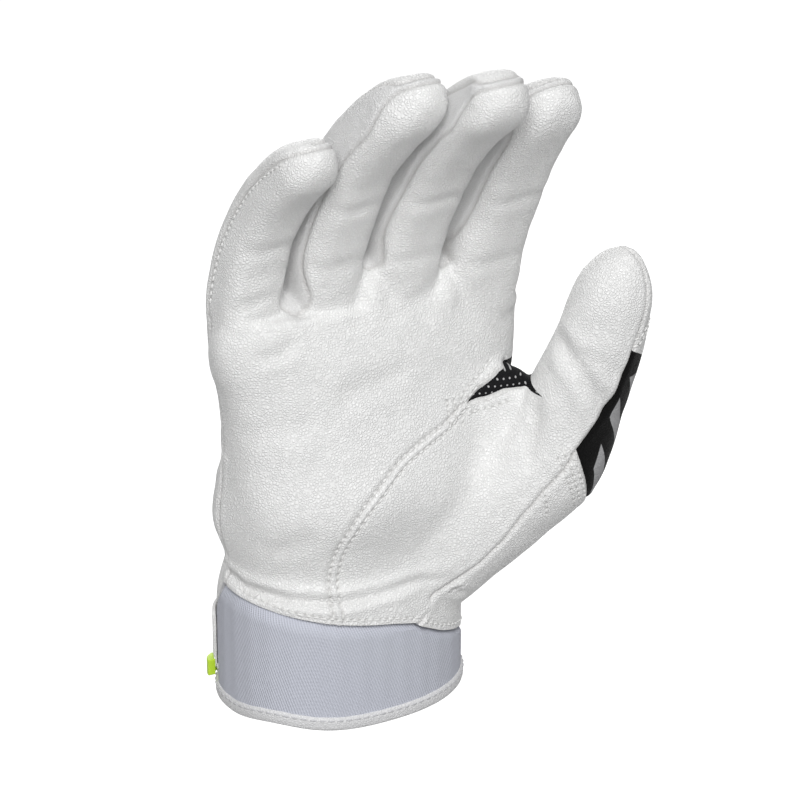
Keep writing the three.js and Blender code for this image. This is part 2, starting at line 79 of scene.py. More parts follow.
LOG = logging.getLogger("batting_glove")
MM = 0.001  # metres in a millimetre
STEP = 0.5  # between the samples of a stall's centre line or of a stitched line
FAR = 99.0  # distance that stands for no seam near


class Panel(Enum):
    """The strips of leather that make up one finger stall."""

    FRONT = "front"
    BACK = "back"
    ULNAR = "ulnar_fourchette"
    RADIAL = "radial_fourchette"


class Zone(Enum):
    """The two stretches of a stall, one at each joint."""

    ROOT = "root"
    TIP = "tip"


@dataclass(frozen=True)
class Ride:
    """A piece that moves with one body."""

    body: str

    def apply(self, piece: bpy.types.Object) -> None:
        """Fixes the piece to the body."""
        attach(piece, self.body)


@dataclass(frozen=True)
class Bend:
    """A piece that bends between two bodies."""

    first: str
    second: str
    start: Point
    end: Point

    def apply(self, piece: bpy.types.Object) -> None:
        """Blends the piece between the bodies."""
        start, end = (tuple(c * MM for c in point) for point in (self.start, self.end))
        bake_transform(piece, self.first, self.second, start, end)


HAND = Ride("hand")
STRAP_BODY = Ride("strap")


# Shapes and lines


def ease(value: Array) -> Array:
    """Smooth step of values from 0 to 1."""
    held = np.clip(value, 0.0, 1.0)
    return held * held * (3.0 - 2.0 * held)


def squared(value: Array, squareness: float) -> Array:
    """Cosine or sine bent towards the corners of a rounded box."""
    return np.sign(value) * np.abs(value) ** (2.0 / squareness)


def bump(distance: Array, width: float) -> Array:
    """Bell curve of a distance, 1 in the middle."""
    return np.exp(-((distance / width) ** 2))


def unit(rows: Array) -> Array:
    """Rows of coordinates scaled to length 1."""
    return rows / np.linalg.norm(rows, axis=1)[:, None]


def full_turn(count: int) -> Array:
    """Even angles round a circle, in radians."""
    return np.linspace(0.0, 2.0 * np.pi, count, endpoint=False)


def line_side(points: Array, line: Array) -> Array:
    """Signed distance to a line in a plane, with both ends run on.

    Args:
        points: Rows of two coordinates.
        line: Rows of two coordinates along the line.

    Returns:
        One distance for each point, positive on the left of the line's direction.
    """
    best = np.full(len(points), np.inf)
    signed = np.zeros(len(points))
    last = len(line) - 2
    for i in range(last + 1):
        start, run = line[i], line[i + 1] - line[i]
        share = (points - start) @ run / (run @ run)
        share = np.clip(share, -np.inf if i == 0 else 0.0, np.inf if i == last else 1.0)
        off = points - start - share[:, None] * run
        gap = np.hypot(off[:, 0], off[:, 1])
        side = np.sign(run[0] * off[:, 1] - run[1] * off[:, 0])
        nearer = gap < best
        best[nearer] = gap[nearer]
        signed[nearer] = (side * gap)[nearer]
    return signed


def run_along(line: Array) -> Array:
    """Distance along a line at each of its points."""
    return np.concatenate([[0.0], np.cumsum(np.linalg.norm(np.diff(line, axis=0), axis=1))])


def line_gap(points: Array, line: Array) -> tuple[Array, Array]:
    """Distance to a line in space.

    Args:
        points: Rows of three coordinates.
        line: Rows of three coordinates along the line.

    Returns:
        The distance of each point, and how far along the line it lies from 0 to 1.
    """
    before = run_along(line)
    best = np.full(len(points), np.inf)
    place = np.zeros(len(points))
    for i, length in enumerate(np.diff(before)):
        start, run = line[i], line[i + 1] - line[i]
        share = np.clip((points - start) @ run / (run @ run), 0.0, 1.0)
        gap = np.linalg.norm(points - start - share[:, None] * run, axis=1)
        nearer = gap < best
        best[nearer] = gap[nearer]
        place[nearer] = (before[i] + share * length)[nearer] / before[-1]
    return best, place


def resampled(line: Array, places: Array) -> Array:
    """Points of a line at distances along it."""
    before = run_along(line)
    return np.stack([np.interp(places, before, column) for column in line.T], axis=1)


def spaced(line: Array, step: float) -> Array:
    """Points at an even step along a line, ends included."""
    total = run_along(line)[-1]
    return resampled(line, np.linspace(0.0, total, max(2, int(round(total / step)) + 1)))


def curved(points: Array, count: int) -> Array:
    """Smooth curve through points, with even parameter steps between them.

    Args:
        points: Rows of coordinates.
        count: Points made in each span.

    Returns:
        The curve's points.
    """
    ends = np.vstack([2 * points[0] - points[1], points, 2 * points[-1] - points[-2]])
    knots = np.concatenate([[0.0], np.cumsum(np.linalg.norm(np.diff(ends, axis=0), axis=1) ** 0.5)])
    made = []
    for i in range(1, len(ends) - 2):
        a, b, c, d = ends[i - 1 : i + 3]
        ta, tb, tc, td = knots[i - 1 : i + 3]
        t = np.linspace(tb, tc, count, endpoint=False)[:, None]
        ab = (tb - t) / (tb - ta) * a + (t - ta) / (tb - ta) * b
        bc = (tc - t) / (tc - tb) * b + (t - tb) / (tc - tb) * c
        cd = (td - t) / (td - tc) * c + (t - tc) / (td - tc) * d
        abc = (tc - t) / (tc - ta) * ab + (t - ta) / (tc - ta) * bc
        bcd = (td - t) / (td - tb) * bc + (t - tb) / (td - tb) * cd
        made.append((tc - t) / (tc - tb) * abc + (t - tb) / (tc - tb) * bcd)
    return np.vstack([*made, points[-1:]])


def offset_line(line: Array, distance: float) -> Array:
    """Line in a plane moved to its left by a distance."""
    along = unit(np.gradient(line, axis=0))
    return line + distance * np.stack([-along[:, 1], along[:, 0]], axis=1)


def add_ring(bm: BMesh, ring: Array) -> tuple[list[bmesh.types.BMVert], list[bmesh.types.BMEdge]]:
    """Adds a closed ring through points.

    Args:
        bm: The mesh that takes the ring.
        ring: Rows of coordinates.

    Returns:
        The ring's vertices and its edges.
    """
    verts = bmesh.ops.create_circle(bm, segments=len(ring), radius=1.0)["verts"]
    for vert, point in zip(verts, ring):
        vert.co = point
    return verts, list({edge for vert in verts for edge in vert.link_edges})


def loft(bm: BMesh, rings: list[Array]) -> None:
    """Bridges rings of points into a tube with closed ends.

    Args:
        bm: The mesh that takes the tube.
        rings: Rings of equal count, in order.
    """
    edges = [add_ring(bm, ring)[1] for ring in rings]
    for low, high in zip(edges, edges[1:]):
        bmesh.ops.bridge_loops(bm, edges=low + high)
    for end in (edges[0], edges[-1]):
        bmesh.ops.contextual_create(bm, geom=end)


@dataclass(frozen=True)
class Spine:
    """Centre line of a stall with its cross-section's axes and half sizes, sampled at an even step."""

    arc: Array
    centre: Array
    along: Array
    side: Array
    back: Array
    width: Array
    depth: Array

    RING_POINTS = 40
    RING_STEP = 3.0
    TIP_TURNS = (0, 15, 30, 44, 57, 69, 79, 86)
    CHUNK = 20000
    APART = 1.9
    APART_START = 12.0
    APART_RUN = 8.0
    DRAW_ROUNDS = 20
    DRAW_SHARE = 0.97

    def locate(self, points: Array) -> tuple[Array, Array, Array]:
        """Place of points on the stall.

        Args:
            points: Rows of coordinates.

        Returns:
            Distance along the line, angle round it in degrees, and distance from it with 1 on the surface.
        """
        nearest = np.zeros(len(points), int)
        for first in range(0, len(points), self.CHUNK):
            chunk = points[first : first + self.CHUNK]
            gaps = (self.centre**2).sum(1)[None, :] - 2.0 * chunk @ self.centre.T
            nearest[first : first + self.CHUNK] = gaps.argmin(1)
        off = points - self.centre[nearest]
        step = self.arc[1] - self.arc[0]
        ahead = np.clip((off * self.along[nearest]).sum(1), -step, step)
        across = (off * self.side[nearest]).sum(1) / self.width[nearest]
        over = (off * self.back[nearest]).sum(1) / self.depth[nearest]
        return self.arc[nearest] + ahead, np.degrees(np.arctan2(over, across)), np.hypot(across, over)

    def index(self, arc: float) -> int:
        """Sample nearest to a distance along the line."""
        return int(np.abs(self.arc - arc).argmin())

    def samples(self, arc: Array) -> Array:
        """Samples nearest to distances along the line."""
        return np.clip(np.round((arc - self.arc[0]) / STEP).astype(int), 0, len(self.arc) - 1)

    def at(self, arc: float, angle: float = 0.0, reach: float = 0.0) -> Array:
        """Point at a distance along the line, an angle round it and a share of the half sizes out from it."""
        i = self.index(arc)
        turn = math.radians(angle)
        across = self.side[i] * self.width[i] * math.cos(turn)
        return self.centre[i] + reach * (across + self.back[i] * self.depth[i] * math.sin(turn))

    def ring(self, arc: float, scale: float, squareness: float) -> Array:
        """Cross-section's outline.

        Args:
            arc: Distance along the line.
            scale: Share of the full half sizes.
            squareness: Exponent of the rounded section.

        Returns:
            The ring's points.
        """
        i = self.index(arc)
        turn = full_turn(self.RING_POINTS)
        across = np.outer(scale * self.width[i] * squared(np.cos(turn), squareness), self.side[i])
        over = np.outer(scale * self.depth[i] * squared(np.sin(turn), squareness), self.back[i])
        return self.centre[i] + (arc - self.arc[i]) * self.along[i] + across + over

    def gap(self, points: Array) -> Array:
        """Distance of points from the stall, taken as round."""
        return (np.linalg.norm(points[:, None] - self.centre[None], axis=2) - self.width).min(1)

    def held_off(self, other: "Spine", ring: Array) -> Array:
        """Draws a ring in where it would touch a neighbouring stall.

        Args:
            other: The neighbour's centre line.
            ring: The ring's points.

        Returns:
            The ring, flattened beside the neighbour.
        """
        centre = ring.mean(0)
        arc = self.locate(centre[None])[0][0]
        apart = self.APART * float(ease((arc - self.APART_START) / self.APART_RUN))
        share = np.ones(len(ring))
        for _ in range(self.DRAW_ROUNDS):
            points = centre + share[:, None] * (ring - centre)
            close = other.gap(points) - self.gap(points) < apart
            share = np.where(close, share * self.DRAW_SHARE, share)
        return centre + share[:, None] * (ring - centre)

    def tube(self, bm: BMesh, start: float, tip: float, squareness: float, beside: list["Spine"]) -> None:
        """Lofts the stall with a rounded end.

        Args:
            bm: The mesh that takes the stall.
            start: Distance along the line of the first ring.
            tip: Length of the rounded end.
            squareness: Exponent of the rounded section.
            beside: Neighbouring stalls that this one must not touch.
        """
        base = self.arc[-1] - tip
        rings = [self.ring(arc, 1.0, squareness) for arc in np.arange(start, base, self.RING_STEP)]
        for turn in np.radians(self.TIP_TURNS):
            rings.append(self.ring(base + tip * math.sin(turn), math.cos(turn), squareness))
        for other in beside:
            rings = [self.held_off(other, ring) for ring in rings]
        loft(bm, rings)

    def movers(self, name: str, low: Pair, high: Pair) -> dict[Zone, Bend]:
        """How the stall's two stretches bend.

        Args:
            name: The stall's name.
            low: Distances along the line between which it turns at its root.
            high: Distances between which it turns at its middle joint.

        Returns:
            The bend of each stretch.
        """
        lower, upper = f"{name}_lower", f"{name}_upper"
        return {
            Zone.ROOT: Bend("hand", lower, *(tuple(self.at(arc)) for arc in low)),
            Zone.TIP: Bend(lower, upper, *(tuple(self.at(arc)) for arc in high)),
        }


@dataclass(frozen=True)
class FingerSize:
    """Sizes of one finger stall."""

    name: str
    root: Point
    bend: Pair
    lean: float
    length: float
    width: Pair
    depth: Pair
    root_blend: Pair
    split: float
    middle: Pair
    sides: tuple[Panel, ...]
    creases: tuple[float, ...]
    root_shift: float
    bow: float = 0.0
    squareness: float = 3.0
    settle: float = 36.0
    buried: float = 14.0
    buried_slope: float = 0.1
    buried_taper: float = 0.2
    tip_run: float = 20.0
    tip_share: float = 1.35

    def spine(self) -> Spine:
        """Centre line that bends evenly from the root to the tip."""
        arc = np.arange(-self.buried, self.length + STEP / 2, STEP)
        start = math.radians(self.bend[0])
        rate = math.radians(self.bend[1] - self.bend[0]) / self.length
        bent = start + rate * np.maximum(arc, 0.0)
        lean = math.radians(self.lean)
        down = np.minimum(arc, 0.0)
        share = np.clip(arc / self.length, 0.0, 1.0)
        x = self.root[0] + math.sin(lean) * arc + self.root_shift * (1.0 - ease(arc / self.settle))
        x += self.bow * np.sin(np.pi * share)
        y = self.root[1] - math.cos(lean) * ((math.cos(start) - np.cos(bent)) / rate)
        y -= self.buried_slope * down
        z = self.root[2] + math.cos(lean) * ((np.sin(bent) - math.sin(start)) / rate) + down
        along = np.stack([np.full(len(arc), math.sin(lean)), -np.sin(bent) * math.cos(lean),
                          np.cos(bent) * math.cos(lean)], axis=1)
        side = unit(np.array([1.0, 0.0, 0.0]) - along[:, :1] * along)
        inside = 1.0 - self.buried_taper * ease(-arc / self.buried)
        width = (self.width[0] + (self.width[1] - self.width[0]) * share) * inside
        depth = (self.depth[0] + (self.depth[1] - self.depth[0]) * share) * inside
        return Spine(arc, np.stack([x, y, z], axis=1), along, side, np.cross(along, side), width, depth)

    def movers(self) -> dict[Zone, Bend]:
        """How the two stretches bend."""
        return self.spine().movers(self.name, self.root_blend, self.middle)


@dataclass(frozen=True)
class ThumbSize:
    """Sizes of the thumb, from inside the hand to its tip."""

    line: tuple[Point, ...] = (
        (11, -4, 36), (30, -12, 47), (42, -19, 56.5), (52.5, -24.5, 69), (57.3, -29, 85),
        (60.9, -33, 99.5), (62.7, -36, 113), (64.8, -38.5, 125.5), (65.3, -39.2, 129.5),
    )
    width: tuple[float, ...] = (21, 20, 17.5, 15.6, 13.2, 12.1, 11.0, 9.0, 7.9)
    depth: tuple[float, ...] = (19, 17.4, 14.8, 14.6, 12.4, 11.5, 9.8, 8.0, 7.0)
    back: Point = (0.62, 0.78, 0.0)
    span_steps: int = 40
    tip: float = 14.0
    squareness: float = 2.05
    root_cut: float = 75.0
    root_blend: Pair = (75.5, 85.0)
    split: float = 92.3
    tip_blend: Pair = (94.5, 103.5)
    split_slope: float = 0.09
    outer_seam_arc: tuple[float, ...] = (0, 26, 34, 41, 51, 57, 66, 76, 87, 96, 105, 114, 123)
    outer_seam_angle: tuple[float, ...] = (-62, -63, -67, -74, -78, -75, -70, -56, -47, -40, -31, -24, -20)
    inner_seam: float = 142.0

    def spine(self) -> Spine:
        """Centre line through the thumb's points."""
        curve = curved(np.array(self.line, float), self.span_steps)
        run = run_along(curve)
        arc = np.arange(0.0, run[-1], STEP)
        centre = resampled(curve, arc)
        place = np.interp(arc, run, np.arange(len(curve)) / self.span_steps)
        along = unit(np.gradient(centre, axis=0))
        back = unit(np.array(self.back) - along * (along @ np.array(self.back))[:, None])
        marks = np.arange(len(self.line))
        width, depth = np.interp(place, marks, self.width), np.interp(place, marks, self.depth)
        return Spine(arc, centre, along, np.cross(back, along), back, width, depth)

    def outer_seam(self, arc: Array) -> Array:
        """Angle of the seam on the outer side at distances along the thumb."""
        return np.interp(arc, self.outer_seam_arc, self.outer_seam_angle)

    def movers(self) -> dict[Zone, Bend]:
        """How the two stretches bend."""
        return self.spine().movers("thumb", self.root_blend, self.tip_blend)


FINGERS = (
    FingerSize("index", (41.3, -4, 113.1), (13, 48), 1.5, 75.4, (11.6, 8.5), (10.6, 7.3), (7.0, 21.0), 25.5,
               (31.0, 45.0), (Panel.ULNAR,), (13.5, 36.0), -2.2, -0.9),
    FingerSize("middle", (18.4, -4, 121.2), (13, 64), 1.6, 83, (10.0, 9.0), (10.8, 7.6), (-1.0, 12.5), 20.5,
               (29.0, 43.0), (Panel.ULNAR, Panel.RADIAL), (11.0, 33.0), -3.2, -1.6),
    FingerSize("ring", (-2.6, -2, 120.7), (9.5, 56), 5.4, 77.5, (9.6, 8.9), (10.8, 7.8), (-0.8, 13.0), 19.5,
               (27.0, 41.0), (Panel.ULNAR, Panel.RADIAL), (12.0, 33.0), -3.2, -4.6),
    FingerSize("little", (-25.9, 1, 118.2), (4, 63), 5.1, 62, (8.9, 7.9), (9.2, 6.8), (1.0, 15.5), 18.5,
               (23.5, 36.5), (Panel.RADIAL,), (5.0, 23.0), -0.9, -1.0),
)


@dataclass(frozen=True)
class SeamPlan:
    """Where the panels meet, as fields that are zero on the seam."""

    thumb_size: ThumbSize = ThumbSize()
    front_half: float = 23.0
    back_half: float = 48.0
    outer_turn: float = 162.0
    tip_drop: float = 2.4
    tip_end: float = 3.0
    back_tip_share: float = 0.45
    back_tip_drop: float = 1.8
    crotches: Line = ((26.4, 121.8), (4.5, 125.6), (-16.7, 116.6))
    crotch_start: float = 3.0
    crotch_run: float = 15.0
    crotch_back: float = 4.0
    crotch_half: float = 8.0
    strips: tuple[float, ...] = (2.0, 2.0, 3.1)
    finger_cut: float = 116.0
    hand_seam_y: float = 3.0
    knuckle_seam: float = 96.0
    knuckle_edge: float = 8.0
    knuckle_notch: tuple[float, float, float] = (2.2, 109.0, 4.0)
    heel_seam_x: float = 28.0
    thumb_seam: Line = (
        (-13.6, 24), (-13.6, 36), (-13.1, 46.3), (-11.5, 54.8), (-7.5, 62.4), (-1.4, 68.4), (6.5, 74.7),
        (14.5, 78.6), (21.2, 81.1), (28.7, 85.4),
    )
    gusset_top: Line = ((28.7, 85.4), (34.7, 88.9), (39.7, 91.7), (43.5, 92.4), (47.5, 91.2), (60, 88))
    gusset_low: Line = ((28.7, 85.4), (34.4, 86.0), (39.2, 87.7), (44.7, 87.8), (60, 89))
    web_plan: Line = ((-60, 3), (12, 3), (30, -4.5), (38, -9), (48, -17), (56, -30), (61, -43), (67, -60))
    black_edge: Line = ((49.3, 92), (50.7, 74.5), (53.4, 67), (56.5, 59.5), (64, 45))
    black_back: Line = ((14, 97), (27, 84), (38, 72), (56.5, 59.5), (64, 45))
    hem: Line = (
        (-60, 37.4), (-32.4, 36.8), (-27, 35.3), (-13.4, 32.2), (2, 29.4), (9.5, 27.6), (10.5, 26.3),
        (18.5, 21.9), (27.3, 18.1), (33, 14.9), (60, 14.9),
    )
    back_hem: float = 27.4
    back_hem_start: float = 4.0
    back_hem_run: float = 8.0

    def stalls(self) -> list[Spine]:
        """Centre lines of the fingers, from the index to the little finger."""
        return [size.spine() for size in FINGERS]

    @staticmethod
    def by_thumb(points: Array) -> Array:
        """True for the points of the thumb that stand as high as the fingers' roots."""
        return (points[:, 0] > 50) & (points[:, 1] < -22) & (points[:, 2] < 134)

    @staticmethod
    def drawn_side(points: Array, line: Line | Array) -> Array:
        """Positive on the left of a line that is drawn as seen from the palm side."""
        return line_side(points[:, [0, 2]], np.array(line, float))

    def palm_side(self, points: Array) -> Array:
        """Positive on the palm's side of the thumb seam and the gusset's top."""
        seam = curved(np.array(self.thumb_seam, float), 6)
        return self.drawn_side(points, np.vstack([seam, np.array(self.gusset_top, float)[1:]]))

    def gusset_side(self, points: Array) -> Array:
        """Positive above the gusset's lower edge."""
        return self.drawn_side(points, self.gusset_low)

    def web_side(self, points: Array) -> Array:
        """Positive behind the line between the palm side and the back, round the thumb."""
        return line_side(points[:, :2], np.array(self.web_plan, float))

    def black_side(self, points: Array) -> Array:
        """Positive on the thumb's side of the black panel's edge, which differs behind the web."""
        front, back = self.drawn_side(points, self.black_edge), self.drawn_side(points, self.black_back)
        return np.where(self.web_side(points) > 0.0, back, front)

    def hem_height(self, points: Array) -> Array:
        """Height of the leather's lower edge at places round the wrist."""
        line = np.array(self.hem, float)
        front = np.interp(points[:, 0], line[:, 0], line[:, 1])
        share = ease((points[:, 1] - self.back_hem_start) / self.back_hem_run)
        return front * (1.0 - share) + self.back_hem * share

    def knuckle_inset(self, points: Array) -> Array:
        """Positive inside the knuckle panel's side edges, which stand in from the palm's border."""
        depth, height, width = self.knuckle_notch
        edge = np.where(points[:, 0] > 10.0, self.hand_seam_y - 1.0, self.knuckle_edge)
        return points[:, 1] - edge + depth * bump(points[:, 2] - height, width)

    def outer_turn_off(self, spine: Spine, points: Array) -> Array:
        """Degrees round the thumb from the seam on its outer side, from -180 to 180."""
        arc, angle, _ = spine.locate(points)
        return (angle - self.thumb_size.outer_seam(arc) + 180.0) % 360.0 - 180.0

    def outer_side(self, spine: Spine, points: Array) -> Array:
        """Positive in front of the seam on the thumb's outer side."""
        arc, angle, reach = spine.locate(points)
        turn = np.radians(self.thumb_size.outer_seam(arc) - angle)
        return reach * spine.width[spine.samples(arc)] * np.sin(turn)

    def turn_side(self, spine: Spine, place: tuple[Array, Array, Array],
                  degrees: float) -> tuple[Array, Array]:
        """Signed distance round a stall from a seam at an angle.

        Args:
            spine: The stall's centre line.
            place: Places of the points on it.
            degrees: Angle of the seam.

        Returns:
            The distance, positive at greater angles, and the cosine of the angle between.
        """
        arc, angle, reach = place
        i = spine.samples(arc)
        turn = np.radians(angle - degrees)
        size = 0.5 * (spine.width[i] + spine.depth[i])
        return np.clip(reach, 0.4, 1.6) * size * np.sin(turn), np.cos(turn)

    def crotch_strip(self, number: int, points: Array) -> Array:
        """Depth inside the rounded strip of fourchette at the bottom of a crotch, seen from the palm side."""
        crotch, strip = self.crotches[number], self.strips[number]
        below = np.minimum(points[:, 2] - crotch[1] - strip, 0.0)
        return strip - np.hypot(points[:, 0] - crotch[0], below)

    def seam_names(self, size: FingerSize) -> tuple[str, ...]:
        """Names of the seams along one finger."""
        ulnar = ("ulnar_front", "ulnar_back") if Panel.ULNAR in size.sides else ("ulnar_outer",)
        radial = ("radial_front", "radial_back") if Panel.RADIAL in size.sides else ("radial_outer",)
        return ulnar + radial

    def finger_seam(self, name: str, size: FingerSize, spine: Spine, points: Array) -> tuple[Array, Array]:
        """Field of one seam along a finger.

        Args:
            name: The seam's name.
            size: The finger's sizes.
            spine: Its centre line.
            points: Rows of coordinates.

        Returns:
            The signed distance, positive at greater angles, and the cosine of the angle from the seam.
        """
        place = spine.locate(points)
        side = -1.0 if name.startswith("ulnar") else 1.0
        turns = {"ulnar_outer": self.outer_turn, "radial_outer": 0.0,
                 "ulnar_back": 180.0 - self.back_half, "radial_back": self.back_half,
                 "ulnar_front": 180.0 + self.front_half, "radial_front": -self.front_half}
        distance, cosine = self.turn_side(spine, place, turns[name])
        if name.endswith("front"):
            number = FINGERS.index(size) - (0 if side < 0.0 else 1)
            crotch = self.crotches[number]
            above = ease((points[:, 2] - crotch[1] - self.crotch_start) / self.crotch_run)
            share = np.maximum(above, ease((points[:, 1] + self.crotch_back) / self.crotch_back))
            distance = share * distance + (1.0 - share) * side * self.crotch_strip(number, points)
            near = np.abs(points[:, 0] - crotch[0]) < self.crotch_half
            cosine = np.where(near, np.maximum(cosine, 1.0 - share), cosine)
        arc, angle, reach = place
        behind = name.endswith("back")
        run = size.tip_run * (self.back_tip_share if behind else 1.0)
        closing = ease((arc - size.length + run) / (run - self.tip_end))
        over = reach * np.interp(arc, spine.arc, spine.depth) * np.sin(np.radians(angle)) - self.tip_drop
        over -= self.back_tip_drop if behind else 0.0
        own = side * np.cos(np.radians(angle)) > -0.25
        cosine = np.where(closing > 0.5, np.where(own, 1.0, -1.0), cosine)
        return (1.0 - closing) * distance + closing * side * over, cosine


# Finishes


class Tree:
    """A node tree under construction."""

    def __init__(self, tree: bpy.types.NodeTree) -> None:
        """Starts on an emptied tree."""
        self.tree = tree
        tree.nodes.clear()

    def add(self, kind: str, sockets: dict[str | int, object] | None = None,
            **settings: object) -> bpy.types.Node:
        """Adds a node.

        Args:
            kind: The node's type.
            sockets: Inputs by name or number, each a value or an output to link.
            settings: Properties of the node.

        Returns:
            The node.
        """
        node = self.tree.nodes.new(kind)
        for name, value in settings.items():
            setattr(node, name, value)
        for key, value in (sockets or {}).items():
            if isinstance(value, Socket):
                self.tree.links.new(value, node.inputs[key])
            else:
                node.inputs[key].default_value = value
        return node

    def math(self, operation: str, *values: object) -> Socket:
        """Adds a Math node and returns its output."""
        return self.add("ShaderNodeMath", dict(enumerate(values)), operation=operation).outputs[0]

    def mix(self, share: Socket, first: object, second: object) -> Socket:
        """Adds a colour Mix node and returns its colour."""
        return self.add("ShaderNodeMix", {0: share, 6: first, 7: second}, data_type="RGBA").outputs[2]

    def ramp(self, value: Socket, low: float, high: float) -> Socket:
        """Adds a smooth Map Range from 0 to 1 and returns its result."""
        node = self.add("ShaderNodeMapRange", {0: value, 1: low, 2: high}, interpolation_type="SMOOTHSTEP")
        return node.outputs[0]

    def wave(self, value: Socket, pitch: object) -> Socket:
        """Sine of a value that repeats at a pitch."""
        return self.math("SINE", self.math("MULTIPLY", self.math("DIVIDE", value, pitch), 2.0 * math.pi))

    def weighted(self, *parts: tuple[Socket, float]) -> Socket:
        """Sum of values, each times its weight."""
        total: object = 0.0
        for value, weight in parts:
            total = self.math("MULTIPLY_ADD", value, weight, total)
        return total

    def place(self) -> Socket:
        """The piece's own coordinates."""
        return self.add("ShaderNodeTexCoord").outputs["Object"]

    def stored(self, name: str) -> Socket:
        """A value that the piece's mesh carries."""
        return self.add("ShaderNodeAttribute", attribute_name=name).outputs["Fac"]

    def noise(self, vector: Socket, scale: object, detail: float) -> bpy.types.bpy_prop_collection:
        """Adds a Noise Texture and returns its outputs."""
        return self.add("ShaderNodeTexNoise", {"Vector": vector, "Scale": scale, "Detail": detail}).outputs

    def relief(self, height: Socket, strength: float, distance: float) -> Socket:
        """Adds a Bump node of a depth in metres and returns its normal."""
        node = self.add("ShaderNodeBump", {"Strength": strength, "Distance": distance, "Height": height})
        return node.outputs[0]


def shared_group(name: str, inputs: dict[str, float | None], outputs: tuple[str, ...]) -> Tree:
    """Makes an empty node group with named sockets.

    Args:
        name: The group's name.
        inputs: Value inputs with their defaults, or None for a vector.
        outputs: Names of the value outputs.

    Returns:
        The group's tree.
    """
    group = bpy.data.node_groups.new(name, "ShaderNodeTree")
    for socket, default in inputs.items():
        kind = "NodeSocketVector" if default is None else "NodeSocketFloat"
        made = group.interface.new_socket(name=socket, in_out="INPUT", socket_type=kind)
        if default is not None:
            made.default_value = default
    for socket in outputs:
        group.interface.new_socket(name=socket, in_out="OUTPUT", socket_type="NodeSocketFloat")
    return Tree(group)


@cache
def grain_group() -> bpy.types.NodeTree:
    """Leather grain: pebbles, pores and slow mottling. Returns the shared group, built once."""
    tree = shared_group("leather_grain", {"Vector": None, "Pebbles": 1500.0, "Mottle": 45.0},
                        ("Height", "Mottling", "Pores"))
    taken = tree.add("NodeGroupInput").outputs
    place = taken["Vector"]
    sway = {0: tree.noise(place, 420.0, 2.0)["Color"], 1: (0.0006, 0.0006, 0.0006), 2: place}
    moved = tree.add("ShaderNodeVectorMath", sway, operation="MULTIPLY_ADD").outputs[0]
    cells = tree.add("ShaderNodeTexVoronoi", {"Vector": moved, "Scale": taken["Pebbles"]},
                     feature="DISTANCE_TO_EDGE")
    pores = tree.ramp(cells.outputs["Distance"], 0.02, 0.26)
    fine, soft = tree.noise(place, 2600.0, 3.0)[0], tree.noise(place, 320.0, 4.0)[0]
    mottling = tree.ramp(tree.noise(place, taken["Mottle"], 4.0)[0], 0.32, 0.7)
    height = tree.weighted((pores, 0.7), (fine, 0.25), (soft, 0.2))
    tree.add("NodeGroupOutput", {"Height": height, "Mottling": mottling, "Pores": pores})
    return tree.tree


@cache
def weave_group() -> bpy.types.NodeTree:
    """Slanted ribs of a woven band, by its length and height. Returns the shared group, built once."""
    tree = shared_group("woven_ribs", {"Along": 0.0, "Up": 0.0, "Pitch": 0.9, "Slope": 0.6},
                        ("Height", "Rib", "Yarn"))
    taken = tree.add("NodeGroupInput").outputs
    along, up, pitch = taken["Along"], taken["Up"], taken["Pitch"]
    slant = tree.math("MULTIPLY_ADD", up, taken["Slope"], along)
    rib = tree.math("MULTIPLY_ADD", tree.wave(slant, pitch), 0.5, 0.5)
    yarn = tree.math("MULTIPLY_ADD", tree.wave(up, tree.math("MULTIPLY", pitch, 0.55)), 0.5, 0.5)
    lint = tree.noise(tree.add("ShaderNodeCombineXYZ", {0: along, 1: up}).outputs[0], 3.0, 3.0)[0]
    height = tree.weighted((rib, 0.7), (yarn, 0.3), (lint, 0.3))
    tree.add("NodeGroupOutput", {"Height": height, "Rib": rib, "Yarn": lint})
    return tree.tree


@dataclass(frozen=True)
class Finish:
    """A surface finish with its colour and gloss."""

    name: str
    colour: Colour
    roughness: float = 0.6
    slot: str = ""

    def material(self) -> bpy.types.Material:
        """The finish as a material, built once."""
        found = bpy.data.materials.get(self.name)
        if found:
            return found
        made = bpy.data.materials.new(self.name)
        made.use_nodes = True
        made.diffuse_color = (*self.colour, 1.0)
        tree = Tree(made.node_tree)
        shader = tree.add("ShaderNodeBsdfPrincipled", {"Roughness": self.roughness} | self.paint(tree))
        tree.add("ShaderNodeOutputMaterial", {"Surface": shader.outputs[0]})
        return made

    def paint(self, tree: Tree) -> Inputs:
        """Colour, gloss and relief, which each finish has of its own.

        Args:
            tree: The material's tree.

        Returns:
            What each input of the shader takes.
        """
        return {"Base Color": self.shade(1.0)}

    def shade(self, share: float) -> tuple[float, float, float, float]:
        """The colour scaled by a share."""
        return (self.colour[0] * share, self.colour[1] * share, self.colour[2] * share, 1.0)


